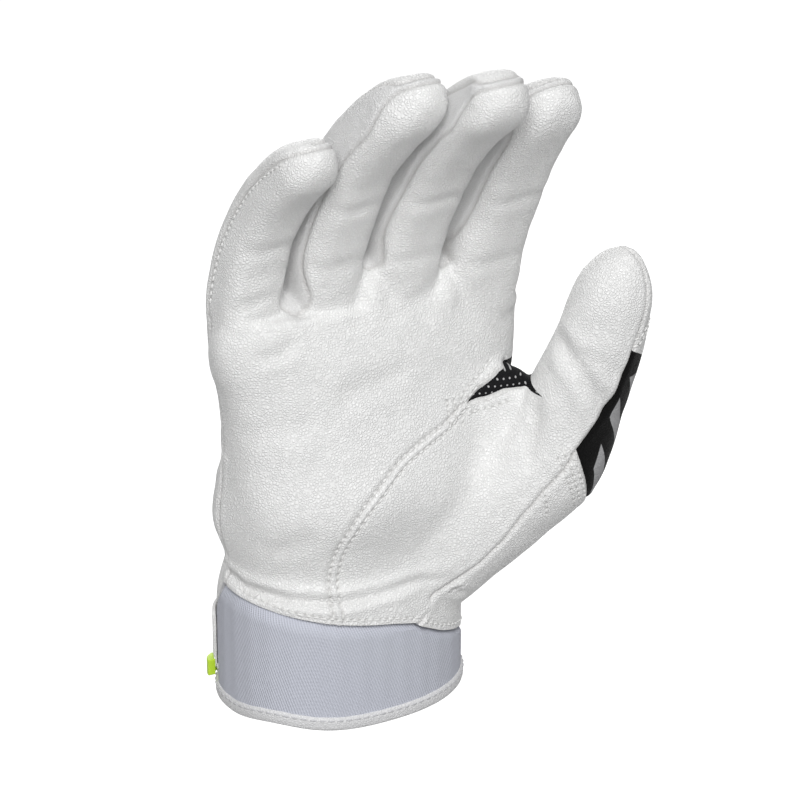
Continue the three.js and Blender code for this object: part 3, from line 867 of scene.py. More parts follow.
@dataclass(frozen=True)
class Leather(Finish):
    """Fine-grain leather that greys a little in its creases: painted shade in the folds, crotches, welt edges
    and needle holes, and the darker seam lines.
    """

    pebbles: float = 1250.0
    depth: float = 0.0003
    # colour of the painted shade in folds, crotches and needle holes, and of the darker seam lines
    seam_and_shade_colour: Colour = (0.52, 0.51, 0.50)

    def paint(self, tree: Tree) -> Inputs:
        """Grain, mottling, and the painted shade and darker seam lines mixed in from the stored crease value.
        """
        sockets = {"Vector": tree.place(), "Pebbles": self.pebbles}
        grain = tree.add("ShaderNodeGroup", sockets, node_tree=grain_group()).outputs
        pores = grain["Pores"]
        tone = tree.mix(grain["Mottling"], self.shade(0.965), self.shade(1.0))
        tone = tree.mix(tree.math("MULTIPLY_ADD", pores, -0.2, 0.2), tone, self.shade(0.66))
        # painted shade: the tone darkens towards the shade colour where the stored crease value marks folds,
        # crotches, grooves and holes
        tone = tree.mix(tree.math("MULTIPLY", tree.stored("crease"), 0.75), tone, (*self.seam_and_shade_colour, 1.0))
        return {
            "Base Color": tone,
            "Roughness": tree.math("MULTIPLY_ADD", pores, -0.10, self.roughness + 0.06),
            "Sheen Weight": 0.08,
            "Normal": tree.relief(grain["Height"], 0.8, self.depth),
        }


@dataclass(frozen=True)
class PrintedLeather(Leather):
    """Dark synthetic leather with plain grey bars printed across it."""

    bar: Colour = (0.46, 0.46, 0.47)
    pitch: float = 15.0
    slant: float = 0.30
    bar_half: Pair = (0.23, 0.21)
    middle: float = 8.0
    half_turn: Pair = (50.0, 48.5)
    first: Pair = (55.0, 55.5)
    last: Pair = (88.5, 88.0)

    def paint(self, tree: Tree) -> Inputs:
        """Grain, then slanted bars placed by the distance along and the turn round the thumb."""
        plain = super().paint(tree)
        along, around = tree.stored("along"), tree.stored("around")
        place = tree.math("DIVIDE", tree.math("MULTIPLY_ADD", around, self.slant, along), self.pitch)
        bars = tree.math("ABSOLUTE", tree.math("SUBTRACT", tree.math("FRACT", place), 0.5))
        off_middle = tree.math("ABSOLUTE", tree.math("SUBTRACT", around, self.middle))
        mask = tree.math("MULTIPLY", tree.ramp(bars, *self.bar_half), tree.ramp(off_middle, *self.half_turn))
        ends = tree.math("MULTIPLY", tree.ramp(along, *self.first), tree.ramp(along, *self.last))
        mask = tree.math("MULTIPLY", mask, ends)
        tone = tree.mix(mask, plain["Base Color"], (*self.bar, 1.0))
        return plain | {"Base Color": tone, "Specular IOR Level": 0.06, "Sheen Weight": 0.0}


@dataclass(frozen=True)
class HoledMesh(Finish):
    """Black knit mesh whose round holes show a white backing."""

    spacing: float = 0.0018
    row_share: float = 0.87
    skew: float = -0.35
    hole: Pair = (0.20, 0.10)
    backing: Colour = (0.50, 0.50, 0.50)

    def paint(self, tree: Tree) -> Inputs:
        """Rows of holes, each second row moved by half a step, in a fine knit."""
        place = tree.place()
        x, y, z = tree.add("ShaderNodeSeparateXYZ", {0: place}).outputs
        across = tree.math("DIVIDE", tree.math("MULTIPLY_ADD", y, self.skew, x), self.spacing)
        up = tree.math("DIVIDE", z, self.spacing * self.row_share)
        shift = tree.math("MULTIPLY", tree.math("MODULO", tree.math("FLOOR", up), 2.0), 0.5)
        squares = []
        for value in (tree.math("ADD", across, shift), up):
            squares.append(tree.math("POWER", tree.math("SUBTRACT", tree.math("FRACT", value), 0.5), 2.0))
        hole = tree.ramp(tree.math("SQRT", tree.math("ADD", *squares)), *self.hole)
        knit = tree.add("ShaderNodeTexWave", {"Vector": place, "Scale": 900.0, "Distortion": 2.0,
                                              "Detail": 1.0}).outputs["Fac"]
        tone = tree.mix(knit, self.shade(0.6), self.shade(1.5))
        height = tree.math("SUBTRACT", tree.math("MULTIPLY", knit, 0.3), hole)
        return {
            "Base Color": tree.mix(hole, tone, (*self.backing, 1.0)),
            "Specular IOR Level": 0.12,
            "Normal": tree.relief(height, 0.8, 0.0004),
        }


@dataclass(frozen=True)
class Knit(Finish):
    """Stretch knit with fine ribs across the hand."""

    rib: float = 0.0011
    row_share: float = 0.7

    def paint(self, tree: Tree) -> Inputs:
        """Ribs and stitches of the knit."""
        x, _, z = tree.add("ShaderNodeSeparateXYZ", {0: tree.place()}).outputs
        crossed = tree.math("MULTIPLY", tree.wave(x, self.rib), tree.wave(z, self.rib * self.row_share))
        stitch = tree.math("MULTIPLY_ADD", crossed, 0.5, 0.5)
        return {
            "Base Color": tree.mix(stitch, self.shade(0.6), self.shade(1.8)),
            "Specular IOR Level": 0.15,
            "Normal": tree.relief(stitch, 0.6, 0.0003),
        }


@dataclass(frozen=True)
class Woven(Finish):
    """Woven elastic with slanted ribs."""

    pitch: float = 0.95
    slope: float = 0.62
    dark: float = 0.80

    def paint(self, tree: Tree) -> Inputs:
        """Ribs placed by the distance along the band and the height."""
        sockets = {"Along": tree.stored("along"), "Up": tree.stored("up"),
                   "Pitch": self.pitch, "Slope": self.slope}
        ribs = tree.add("ShaderNodeGroup", sockets, node_tree=weave_group()).outputs
        tone = tree.mix(ribs["Rib"], self.shade(self.dark), self.shade(1.04))
        tone = tree.mix(tree.math("MULTIPLY", ribs["Yarn"], 0.25), tone, self.shade(0.85))
        return {"Base Color": tone, "Sheen Weight": 0.1, "Normal": tree.relief(ribs["Height"], 0.7, 0.0003)}


@dataclass(frozen=True)
class Thread(Finish):
    """Twisted sewing thread."""

    def paint(self, tree: Tree) -> Inputs:
        """Twist of the strands."""
        sockets = {"Vector": tree.place(), "Scale": 1400.0, "Distortion": 1.0}
        twist = tree.add("ShaderNodeTexWave", sockets, bands_direction="DIAGONAL").outputs["Fac"]
        tone = tree.mix(twist, self.shade(0.86), self.shade(1.0))
        return {"Base Color": tone, "Normal": tree.relief(twist, 0.4, 0.0001)}


@dataclass(frozen=True)
class Rubber(Finish):
    """Moulded soft rubber with a fine matt texture."""

    def paint(self, tree: Tree) -> Inputs:
        """Matt grain and slight colour drift."""
        place = tree.place()
        speck, drift = tree.noise(place, 1800.0, 3.0)[0], tree.noise(place, 90.0, 2.0)[0]
        return {
            "Base Color": tree.mix(drift, self.shade(0.9), self.shade(1.0)),
            "Roughness": tree.math("MULTIPLY_ADD", speck, 0.2, self.roughness - 0.1),
            "Normal": tree.relief(speck, 0.4, 0.0001),
        }


@dataclass(frozen=True)
class Pile(Finish):
    """Hook or loop tape."""

    tuft: float = 900.0

    def paint(self, tree: Tree) -> Inputs:
        """Tufts standing close together."""
        cells = tree.add("ShaderNodeTexVoronoi", {"Vector": tree.place(), "Scale": self.tuft})
        off = cells.outputs["Distance"]
        return {
            "Base Color": tree.mix(tree.ramp(off, 0.1, 0.7), self.shade(1.1), self.shade(0.5)),
            "Sheen Weight": 0.3,
            "Normal": tree.relief(tree.math("SUBTRACT", 1.0, off), 0.9, 0.0006),
        }


WHITE_LEATHER = Leather("white_leather_fine_grain", (0.86, 0.86, 0.855), 0.50, "white_leather")
FOURCHETTE_LEATHER = Leather("white_leather_fourchette", (0.83, 0.83, 0.83), 0.52, "white_leather",
                             pebbles=1700.0)
# its painted shade colour in creases and seams is near black as well
BLACK_LEATHER = PrintedLeather("black_synthetic_barred", (0.004, 0.004, 0.004), 0.62, "black_knit",
                               seam_and_shade_colour=(0.003, 0.003, 0.003))
BLACK_MESH = HoledMesh("black_mesh_holed", (0.006, 0.006, 0.007), 0.7, "black_knit")
BLACK_KNIT = Knit("black_stretch_knit", (0.012, 0.012, 0.013), 0.75, "black_knit")
GREY_ELASTIC = Woven("grey_twill_elastic", (0.60, 0.62, 0.70), 0.8, "grey_elastic", 0.75, 0.36, 0.84)
GREY_TAPE = Leather("grey_binding_tape", (0.74, 0.74, 0.75), 0.6, "grey_binding", depth=0.0002)
WHITE_THREAD = Thread("white_sewing_thread", (0.84, 0.84, 0.83), 0.55)
GREY_THREAD = Thread("grey_sewing_thread", (0.58, 0.58, 0.60), 0.55)
LIME_RUBBER = Rubber("lime_rubber_matt", (0.50, 0.72, 0.04), 0.5, "lime_rubber")
HOOK_TAPE = Pile("grey_hook_tape", (0.45, 0.45, 0.47), 0.9, "grey_hooks", 800.0)
LOOP_TAPE = Pile("grey_loop_tape", (0.50, 0.50, 0.52), 0.95, "grey_hooks", 1500.0)


# Pieces


def make_piece(bm: BMesh, name: str, finish: Finish, mover: Ride | Bend, nodes: tuple[str, ...] = (),
               sharp: float = 48.0) -> None:
    """Turns a mesh in millimetres into a finished piece of the scene.

    Args:
        bm: The mesh, which is used up.
        name: The piece's name.
        finish: Its finish.
        mover: What it moves with.
        nodes: CAD nodes that it stands for.
        sharp: Angle in degrees past which an edge stays sharp.
    """
    limit = math.radians(sharp)
    for face in bm.faces:
        face.smooth = True
    for edge in bm.edges:
        edge.smooth = len(edge.link_faces) == 2 and edge.calc_face_angle(0.0) < limit
    bmesh.ops.scale(bm, vec=(MM, MM, MM), verts=bm.verts)
    mesh = bpy.data.meshes.new(name)
    bm.to_mesh(mesh)
    bm.free()
    mesh.materials.append(finish.material())
    piece = bpy.data.objects.new(name, mesh)
    bpy.context.scene.collection.objects.link(piece)
    mover.apply(piece)
    if nodes:
        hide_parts(*nodes)
    LOG.info("%s: %d faces", name, len(mesh.polygons))


class Skin:
    """A stretch of the glove's outer surface, which seams cut into panels."""

    PLACES = ("base_x", "base_y", "base_z")
    KEPT = ("crease", "along", "around")

    def __init__(self, bm: BMesh) -> None:
        """Holds a mesh whose vertices carry their place before the relief."""
        self.bm = bm
        self.corners: tuple[Array, Array, Array] | None = None

    def remember(self) -> None:
        """Stores each vertex's present place as its base place."""
        for i, name in enumerate(self.PLACES):
            self.store(name, [vert.co[i] for vert in self.bm.verts])

    def store(self, name: str, values: object) -> None:
        """Stores one value for each vertex."""
        layers = self.bm.verts.layers.float
        layer = layers.get(name) or layers.new(name)
        for vert, value in zip(self.bm.verts, values):
            vert[layer] = float(value)

    def mark(self, spine: Spine) -> None:
        """Stores each vertex's place along and round a stall, for a print that follows it."""
        arc, angle, _ = spine.locate(self.base())
        self.store("along", arc)
        self.store("around", (angle + 100.0) % 360.0 - 100.0)

    def read(self, name: str) -> Array:
        """One stored value for each vertex."""
        layer = self.bm.verts.layers.float[name]
        return np.array([vert[layer] for vert in self.bm.verts])

    def base(self) -> Array:
        """Base places of the vertices."""
        return np.stack([self.read(name) for name in self.PLACES], axis=1)

    def middles(self) -> Array:
        """Middle of each face."""
        return np.array([face.calc_center_median() for face in self.bm.faces])

    def cut(self, name: str, values: Array, inside: Array | None = None) -> None:
        """Cuts the faces along a field's zero line.

        Args:
            name: Name under which the field is kept for sorting the faces.
            values: The field at each vertex.
            inside: True at the vertices where the cut is wanted, or None for all.
        """
        values = np.where(np.abs(values) < 1e-6, 0.0, values)
        self.store(name, values)
        self.corners = None
        layer = self.bm.verts.layers.float[name]
        self.bm.verts.index_update()
        self.bm.edges.ensure_lookup_table()
        ends = np.array([(edge.verts[0].index, edge.verts[1].index) for edge in self.bm.edges])
        first, second = values[ends[:, 0]], values[ends[:, 1]]
        crossing = first * second < 0.0
        if inside is not None:
            crossing &= inside[ends[:, 0]] & inside[ends[:, 1]]
        made = [(self.bm.edges[i], first[i] / (first[i] - second[i])) for i in np.flatnonzero(crossing)]
        verts = []
        for edge, share in made:
            vert = bmesh.utils.edge_split(edge, edge.verts[0], share)[1]
            vert[layer] = 0.0
            verts.append(vert)
        bmesh.ops.connect_verts(self.bm, verts=verts)

    def sides(self, name: str) -> Array:
        """Mean of a stored field over each face."""
        if self.corners is None:
            self.bm.verts.index_update()
            counts = np.array([len(face.verts) for face in self.bm.faces])
            corners = np.fromiter((vert.index for face in self.bm.faces for vert in face.verts), int)
            self.corners = corners, np.concatenate([[0], np.cumsum(counts)[:-1]]), counts
        corners, starts, counts = self.corners
        return np.add.reduceat(self.read(name)[corners], starts) / counts

    def part(self, wanted: Array) -> "Skin":
        """Copy of the faces that are wanted."""
        copy = self.bm.copy()
        copy.faces.ensure_lookup_table()
        bmesh.ops.delete(copy, geom=[copy.faces[i] for i in np.flatnonzero(~wanted)], context="FACES")
        return Skin(copy)

    def panel(self, wanted: Array, thickness: float) -> BMesh:
        """Some of the faces as a panel with its thickness inwards.

        Args:
            wanted: True for each face that is kept.
            thickness: Thickness of the material.

        Returns:
            The panel's mesh.
        """
        part = self.part(wanted).bm
        layers = part.verts.layers.float
        for name in [name for name in layers.keys() if name not in self.KEPT]:
            layers.remove(layers[name])
        bmesh.ops.dissolve_degenerate(part, dist=0.02, edges=part.edges)
        part.normal_update()
        bmesh.ops.solidify(part, geom=part.faces, thickness=thickness)
        return part


@dataclass
class HandForm:
    """The hand that the leather is drawn over: bag, stalls, thumb and web, joined into one smooth surface."""

    plan: SeamPlan
    sections: tuple[tuple[float, float, float, float, float], ...] = (
        (-10, 0.5, 0, 33.5, 26.5), (27, 0.5, 0, 34, 27), (34, 0.9, 0, 34, 26.5), (43, 2, 1.3, 33.5, 24.4),
        (51, 2.8, 0.7, 35.4, 24.8), (62, 4.6, -1.2, 37.8, 25.3), (76, 7.4, -1.2, 40.3, 22.8),
        (92, 9, -1, 43.2, 19), (102, 7.8, -1.6, 45, 16.4), (110, 7.5, -2.4, 45, 13.6),
        (116, 8.2, -3.2, 43.2, 11.2),
    )
    squareness: float = 2.3
    crotches: tuple[Point, ...] = ((26.4, -3.5, 124.6), (4.5, -3.0, 128.4), (-16.7, -1.5, 119.8))
    crotch_fill: tuple[tuple[float, ...], ...] = ((2.6, 9.0, 10.0, 0.0, 0.0), (6.8, 9.4, 11.0, -2.2, 1.2))
    web_line: tuple[Point, ...] = ((26, -6, 74), (37, -13, 75), (46, -18.5, 72), (55, -26, 67))
    web_height: tuple[float, ...] = (17.5, 20, 18.5, 13)
    web_thick: tuple[float, ...] = (9, 8.5, 8, 8)
    web_squareness: float = 2.2
    voxel: float = 0.75
    rounds: int = 7
    heel_line: tuple[Point, ...] = ((10, -26, 49), (28, -22, 72))
    heel_width: float = 12.5
    heel_rounds: int = 140

    def bag_rings(self) -> list[Array]:
        """Rings of the hand bag, smoothed between its sections."""
        turn = full_turn(64)
        rings = []
        for z, x, y, width, depth in curved(np.array(self.sections, float), 5):
            across = x + width * squared(np.cos(turn), self.squareness)
            over = y + depth * squared(np.sin(turn), self.squareness)
            rings.append(np.stack([across, over, np.full(len(turn), z)], axis=1))
        return rings

    def web_rings(self) -> list[Array]:
        """Rings of the web between the palm and the thumb."""
        line = np.array(self.web_line, float)
        turn = full_turn(32)
        along = np.gradient(line, axis=0)
        flat = unit(np.stack([-along[:, 1], along[:, 0], np.zeros(len(line))], axis=1))
        rings = []
        for i, centre in enumerate(line):
            over = np.outer(self.web_thick[i] * squared(np.cos(turn), self.web_squareness), flat[i])
            up = np.outer(self.web_height[i] * squared(np.sin(turn), self.web_squareness), [0.0, 0.0, 1.0])
            rings.append(centre + over + up)
        return rings

    def solids(self) -> BMesh:
        """The forms that make up the hand, still apart."""
        bm = bmesh.new()
        loft(bm, self.bag_rings())
        stalls = self.plan.stalls()
        for i, size in enumerate(FINGERS):
            beside = stalls[max(i - 1, 0) : i] + stalls[i + 1 : i + 2]
            stalls[i].tube(bm, -size.buried, size.width[1] * size.tip_share, size.squareness, beside)
        thumb = self.plan.thumb_size
        thumb.spine().tube(bm, 0.0, thumb.tip, thumb.squareness, [])
        loft(bm, self.web_rings())
        for x, y, z in self.crotches:
            for *half, ahead, drop in self.crotch_fill:
                place = Matrix.Translation((x, y + ahead, z - drop - half[2])) @ Matrix.Diagonal((*half, 1.0))
                bmesh.ops.create_uvsphere(bm, u_segments=24, v_segments=16, radius=1.0, matrix=place)
        bmesh.ops.recalc_face_normals(bm, faces=bm.faces)
        return bm

    def surface(self) -> Skin:
        """Joins the forms into one smooth skin, with its base places stored."""
        bm = self.solids()
        mesh = bpy.data.meshes.new("hand_form")
        bm.to_mesh(mesh)
        bm.free()
        form = bpy.data.objects.new("hand_form", mesh)
        bpy.context.scene.collection.objects.link(form)
        skin = form.modifiers.new("skin", "REMESH")
        skin.mode = "VOXEL"
        skin.voxel_size = self.voxel
        joined = bpy.data.meshes.new_from_object(form.evaluated_get(bpy.context.evaluated_depsgraph_get()))
        bpy.data.objects.remove(form)
        bpy.data.meshes.remove(mesh)
        bm = bmesh.new()
        bm.from_mesh(joined)
        bpy.data.meshes.remove(joined)
        gap = line_gap(np.array([vert.co for vert in bm.verts]), np.array(self.heel_line, float))[0]
        heel = [vert for vert, distance in zip(bm.verts, gap) if distance < self.heel_width]
        for verts in [heel] * self.heel_rounds + [bm.verts] * self.rounds:
            bmesh.ops.smooth_vert(bm, verts=verts, factor=0.5, use_axis_x=True, use_axis_y=True,
                                  use_axis_z=True)
        made = Skin(bm)
        made.remember()
        return made


@dataclass(frozen=True)
class Crease:
    """A soft fold in the leather along a line, with the swell beside it."""

    line: tuple[Point, ...]
    width: float
    depth: float
    swell: float = 0.45
    fade: float = 0.22

    def lower(self, points: Array) -> Array:
        """How far points sink into the fold, positive inwards."""
        gap, place = line_gap(points, np.array(self.line, float))
        fade = ease(np.minimum(place, 1.0 - place) / self.fade)
        shape = bump(gap, self.width) - self.swell * bump(gap - 2.1 * self.width, 1.1 * self.width)
        return self.depth * fade * shape


PALM_CREASES = (
    Crease(((-28, 16, 44), (-33, 5, 41.4), (-32, -6, 39.6), (-24.5, -18, 39.2), (-12.8, -24.3, 38.2),
            (-1.6, -26, 38.6), (11.1, -25.4, 39.2), (22.2, -27.5, 38)), 1.3, 1.25, 0.6),
    Crease(((13.3, -18.6, 99.2), (-0.5, -18.8, 96.6), (-11.9, -17.8, 94.5)), 3.0, 0.5),
    Crease(((44.1, -28, 89.5), (42.6, -31, 81.6), (40.8, -32.6, 74), (39, -34, 67)), 2.6, 1.0, 0.6),
    Crease(((47.5, -27, 104), (49.5, -33.4, 103), (51.6, -40, 97.6), (56, -42.4, 88.3),
            (58.4, -41.8, 81)), 2.3, 1.1, 0.6),
    Crease(((51, -39, 104), (55.4, -42.7, 100), (61.6, -44.1, 94)), 2.2, 0.6),
    Crease(((48, -13, 112.8), (52.3, -5, 111), (52.5, 3, 109)), 2.2, 1.1, 0.6),
    Crease(((-36, -4, 117.7), (-33.5, -9.7, 120.8), (-22, -11.4, 122.5)), 1.8, 0.6),
    Crease(((3, -15, 124), (-0.6, -15, 118), (-3, -16, 110)), 3.0, 0.4, 0.5),
    Crease(((24, -16, 121), (20, -16, 116.5), (15, -17, 108)), 3.0, 0.4, 0.5),
    Crease(((-35.2, 4, 80), (-34, 8, 74), (-30, 14, 70)), 2.5, 0.9, 0.5),
    Crease(((-2, -15, 121), (-9, -15, 118), (-14, -14, 118)), 1.8, 0.35),
    Crease(((19, -16, 117), (12, -16, 114), (6, -16, 113)), 2.0, 0.35),
    Crease(((-18, -13, 112), (-24, -13, 108), (-31, -10, 107)), 1.8, 0.5),
    Crease(((20, -25, 34.5), (24, -24.5, 33), (28, -22.5, 31.5)), 1.2, 0.8),
    Crease(((5, -26.3, 23), (9.5, -26.3, 26.5), (14, -26.3, 29.5), (20.3, -26, 33.5),
            (33, -25, 41)), 0.6, 0.55),
    Crease(((-30, -9, 52), (-24, -17, 55), (-17, -22, 60)), 2.6, 0.45),
    Crease(((4, -27, 47), (14, -28, 45), (22, -30, 46)), 2.4, 0.5),
    Crease(((-33, -4, 84), (-26, -15, 88), (-14, -19, 88)), 3.0, 0.4),
)


@dataclass
class Relief:
    """Grooves at the seams, folds and slow waves that shape the drawn leather, with the painted shade that
    darkens the grooves and folds.
    """

    plan: SeamPlan
    needlework: "Needlework"
    groove: float = 0.5
    groove_width: float = 0.5
    swell: float = 0.22
    swell_off: float = 1.7
    welt_half: float = 1.2
    welt_rise: float = 0.30
    prick: float = 0.28
    fine: float = 1.7
    wave: float = 0.35
    tuck: float = 1.5
    tuck_run: float = 13.0
    finger_fold: Pair = (0.26, 0.34)
    swells: tuple[tuple[Point, float, float], ...] = (
        ((-34, 8, 57), 2.4, 9.5), ((-6, -26, 64), 1.2, 15), ((-30, 12, 43), -3.0, 5.5),
        ((20, -26, 61), 1.3, 11),
    )

    def __post_init__(self) -> None:
        """Keeps the thumb's centre line."""
        self.thumb = self.plan.thumb_size.spine()

    def hand_gaps(self, points: Array) -> Array:
        """Distance to the nearest seam of the hand's panels, other than the welted thumb seam.

        Args:
            points: Base places.

        Returns:
            One distance for each point, large away from the seams.
        """
        plan, thumb = self.plan, self.thumb
        x, y, z = points[:, 0], points[:, 1] - plan.hand_seam_y, points[:, 2]
        low, front, behind = z < plan.finger_cut, y < 0.0, y > 0.0
        palm, web = plan.palm_side(points), plan.web_side(points)
        place = arc, angle, reach = thumb.locate(points)
        on_thumb = reach < 1.3
        off_thumb = (arc < 73.0) | (reach > 1.15)
        by_outer = np.abs(angle - plan.thumb_size.outer_seam(arc)) < 70.0
        outer = plan.outer_side(thumb, points)
        inner, cosine = plan.turn_side(thumb, place, plan.thumb_size.inner_seam)
        gusset = np.minimum(np.abs(palm), np.abs(plan.gusset_side(points)))
        seams = (
            (low & (palm > 0.0), y),
            (on_thumb & by_outer & (x > 8.0) & (arc > 8.0), outer),
            (on_thumb & (arc > plan.thumb_size.root_cut) & (cosine > 0.2), inner),
            (low & front & off_thumb & (x > 28.5) & (x < 44.5) & (web < 2.0), gusset),
            (low & behind & (palm > 0.0), z - plan.knuckle_seam),
            (behind & (z < 83.0), x - plan.heel_seam_x),
            ((outer < 0.0) & (palm < 0.0) & (x > 26.0) & (z < 88.0), plan.black_side(points)),
        )
        return np.min([np.where(near, np.abs(gap), FAR) for near, gap in seams], axis=0)

    def finger_gaps(self, points: Array) -> Array:
        """Distance to the nearest seam along a finger.

        Args:
            points: Base places.

        Returns:
            One distance for each point, large off the fingers.
        """
        gap = np.full(len(points), FAR)
        high = np.flatnonzero((points[:, 2] > self.plan.finger_cut - 1.0) & ~self.plan.by_thumb(points))
        nearest = np.full(len(high), np.inf)
        for size in FINGERS:
            spine = size.spine()
            reach = spine.locate(points[high])[2]
            closer = (reach < nearest) & (reach < 2.0)
            nearest = np.where(closer, reach, nearest)
            here = high[closer]
            gap[here] = FAR
            for name in self.plan.seam_names(size):
                distance, cosine = self.plan.finger_seam(name, size, spine, points[here])
                gap[here] = np.minimum(gap[here], np.where(cosine > 0.0, np.abs(distance), FAR))
        return gap

    def gaps(self, points: Array) -> Array:
        """Distance to the nearest seam."""
        return np.minimum(self.hand_gaps(points), self.finger_gaps(points))

    @staticmethod
    def hole_gaps(holes: KDTree, points: Array) -> Array:
        """Distance of each point to the nearest needle hole."""
        return np.array([holes.find(point)[2] for point in points])

    def refine(self, skin: Skin, holes: KDTree) -> None:
        """Divides the skin along the seams and round the needle holes.

        Args:
            skin: The smooth skin.
            holes: Search tree of the needle holes.
        """
        points = skin.base()
        near = (self.gaps(points) < self.fine) | (self.hole_gaps(holes, points) < self.fine)
        skin.bm.verts.index_update()
        edges = [edge for edge in skin.bm.edges if near[edge.verts[0].index] and near[edge.verts[1].index]]
        bmesh.ops.subdivide_edges(skin.bm, edges=edges, cuts=1, use_grid_fill=True)
        skin.bm.verts.index_update()
        skin.remember()

    def creases(self) -> list[Crease]:
        """The palm's folds, and those across the fingers."""
        made = list(PALM_CREASES)
        for size in FINGERS:
            spine = size.spine()
            for arc, depth in zip(size.creases, self.finger_fold):
                turns = np.linspace(206, 330, 9)
                line = tuple(tuple(spine.at(arc + 0.9 * math.sin(0.05 * turn), turn, 1.0)) for turn in turns)
                made.append(Crease(line, 2.0, depth, 0.4))
        return made

    def sewn(self, points: Array, holes: KDTree) -> tuple[Array, Array]:
        """Grooves of the seams, the welted thumb seam and the needle holes.

        Args:
            points: Base places.
            holes: Search tree of the needle holes.

        Returns:
            How far each point sinks, and how dark it is painted: the seam lines, with painted shade in their
            grooves, at the welt's edges and in the needle holes.
        """
        gap = self.gaps(points)
        sink = self.groove * bump(gap, self.groove_width) - self.swell * bump(gap - self.swell_off, 1.0)
        # dark seam line, with painted shade in its groove
        dark = 0.8 * bump(gap, 0.45)
        welt, half = self.plan.palm_side(points), self.welt_half
        on_welt = (points[:, 1] < 3.0) & (points[:, 0] < 29.5) & (points[:, 2] < 86.0)
        band = self.swell * (bump(welt - half, 0.5) + bump(welt + half, 0.5))
        band -= self.welt_rise * bump(welt, 0.8)
        band -= 0.2 * ease((welt - 1.9) / 0.6) * bump(welt - 2.0, 3.5)
        sink += np.where(on_welt, band, 0.0)
        # painted shade at the welt's edges and in the fold beside it
        dark += np.where(on_welt, 0.25 * bump(np.abs(welt) - half, 0.4) + 0.3 * bump(welt - 2.0, 0.3), 0.0)
        pricked = self.hole_gaps(holes, points)
        # painted shade in the needle holes, which also sink a little
        return sink + self.prick * bump(pricked, 0.45), dark + 0.9 * bump(pricked, 0.42)

    def folded(self, points: Array) -> tuple[Array, Array]:
        """Folds, swells, the tuck under the thumb and the painted shade in the folds and crotches.

        Args:
            points: Base places.

        Returns:
            How far each point sinks, and how dark its painted shade is.
        """
        sink, dark = np.zeros(len(points)), np.zeros(len(points))
        for fold in self.creases():
            lowered = fold.lower(points)
            sink += lowered
            # painted shade in each fold, darker where the fold is deeper
            dark += np.clip(0.16 * lowered, 0.0, 0.3)
        for place, height, width in self.swells:
            sink -= height * bump(np.linalg.norm(points - np.array(place, float), axis=1), width)
        arc, _, reach = self.thumb.locate(points)
        under = -self.plan.outer_side(self.thumb, points)
        beside = ease((arc - 14.0) / 12.0) * ease((54.0 - arc) / 14.0) * (reach < 1.5)
        sink += self.tuck * ease(under / self.tuck_run) * beside * (points[:, 0] > 8.0)
        for number in range(len(self.plan.crotches)):
            # painted shade in the strip at the bottom of each crotch, between the fingers
            inside = ease(self.plan.crotch_strip(number, points) / 1.2) * ease((140.0 - points[:, 2]) / 12.0)
            dark += 0.3 * inside * (points[:, 1] < 4.0) * (points[:, 2] > 110.0)
        return sink, dark

    def drift(self, point: Array) -> float:
        """Height of the leather's slow waves at a place."""
        place = Vector(point)
        broad, close = noise.noise(place / 17.0), noise.noise(place / 7.0 + Vector((9.0, 3.0, 5.0)))
        return self.wave * (broad + 0.45 * close)

    def press(self, skin: Skin) -> None:
        """Lays out the stitches, refines the skin along the seams, stores the painted shade and moves the
        skin into relief.
        """
        self.needlework.lay(BVHTree.FromBMesh(skin.bm))
        holes = self.needlework.holes()
        self.refine(skin, holes)
        points = skin.base()
        skin.bm.normal_update()
        sewn, folded = self.sewn(points, holes), self.folded(points)
        # the crease value: painted shade in folds, crotches, grooves and holes, and the darker seam lines,
        # mixed into the leather's colour
        skin.store("crease", np.clip(sewn[1] + folded[1], 0.0, 1.0))
        for vert, point, depth in zip(skin.bm.verts, points, sewn[0] + folded[0]):
            vert.co -= vert.normal * (depth - self.drift(point))
        skin.bm.normal_update()


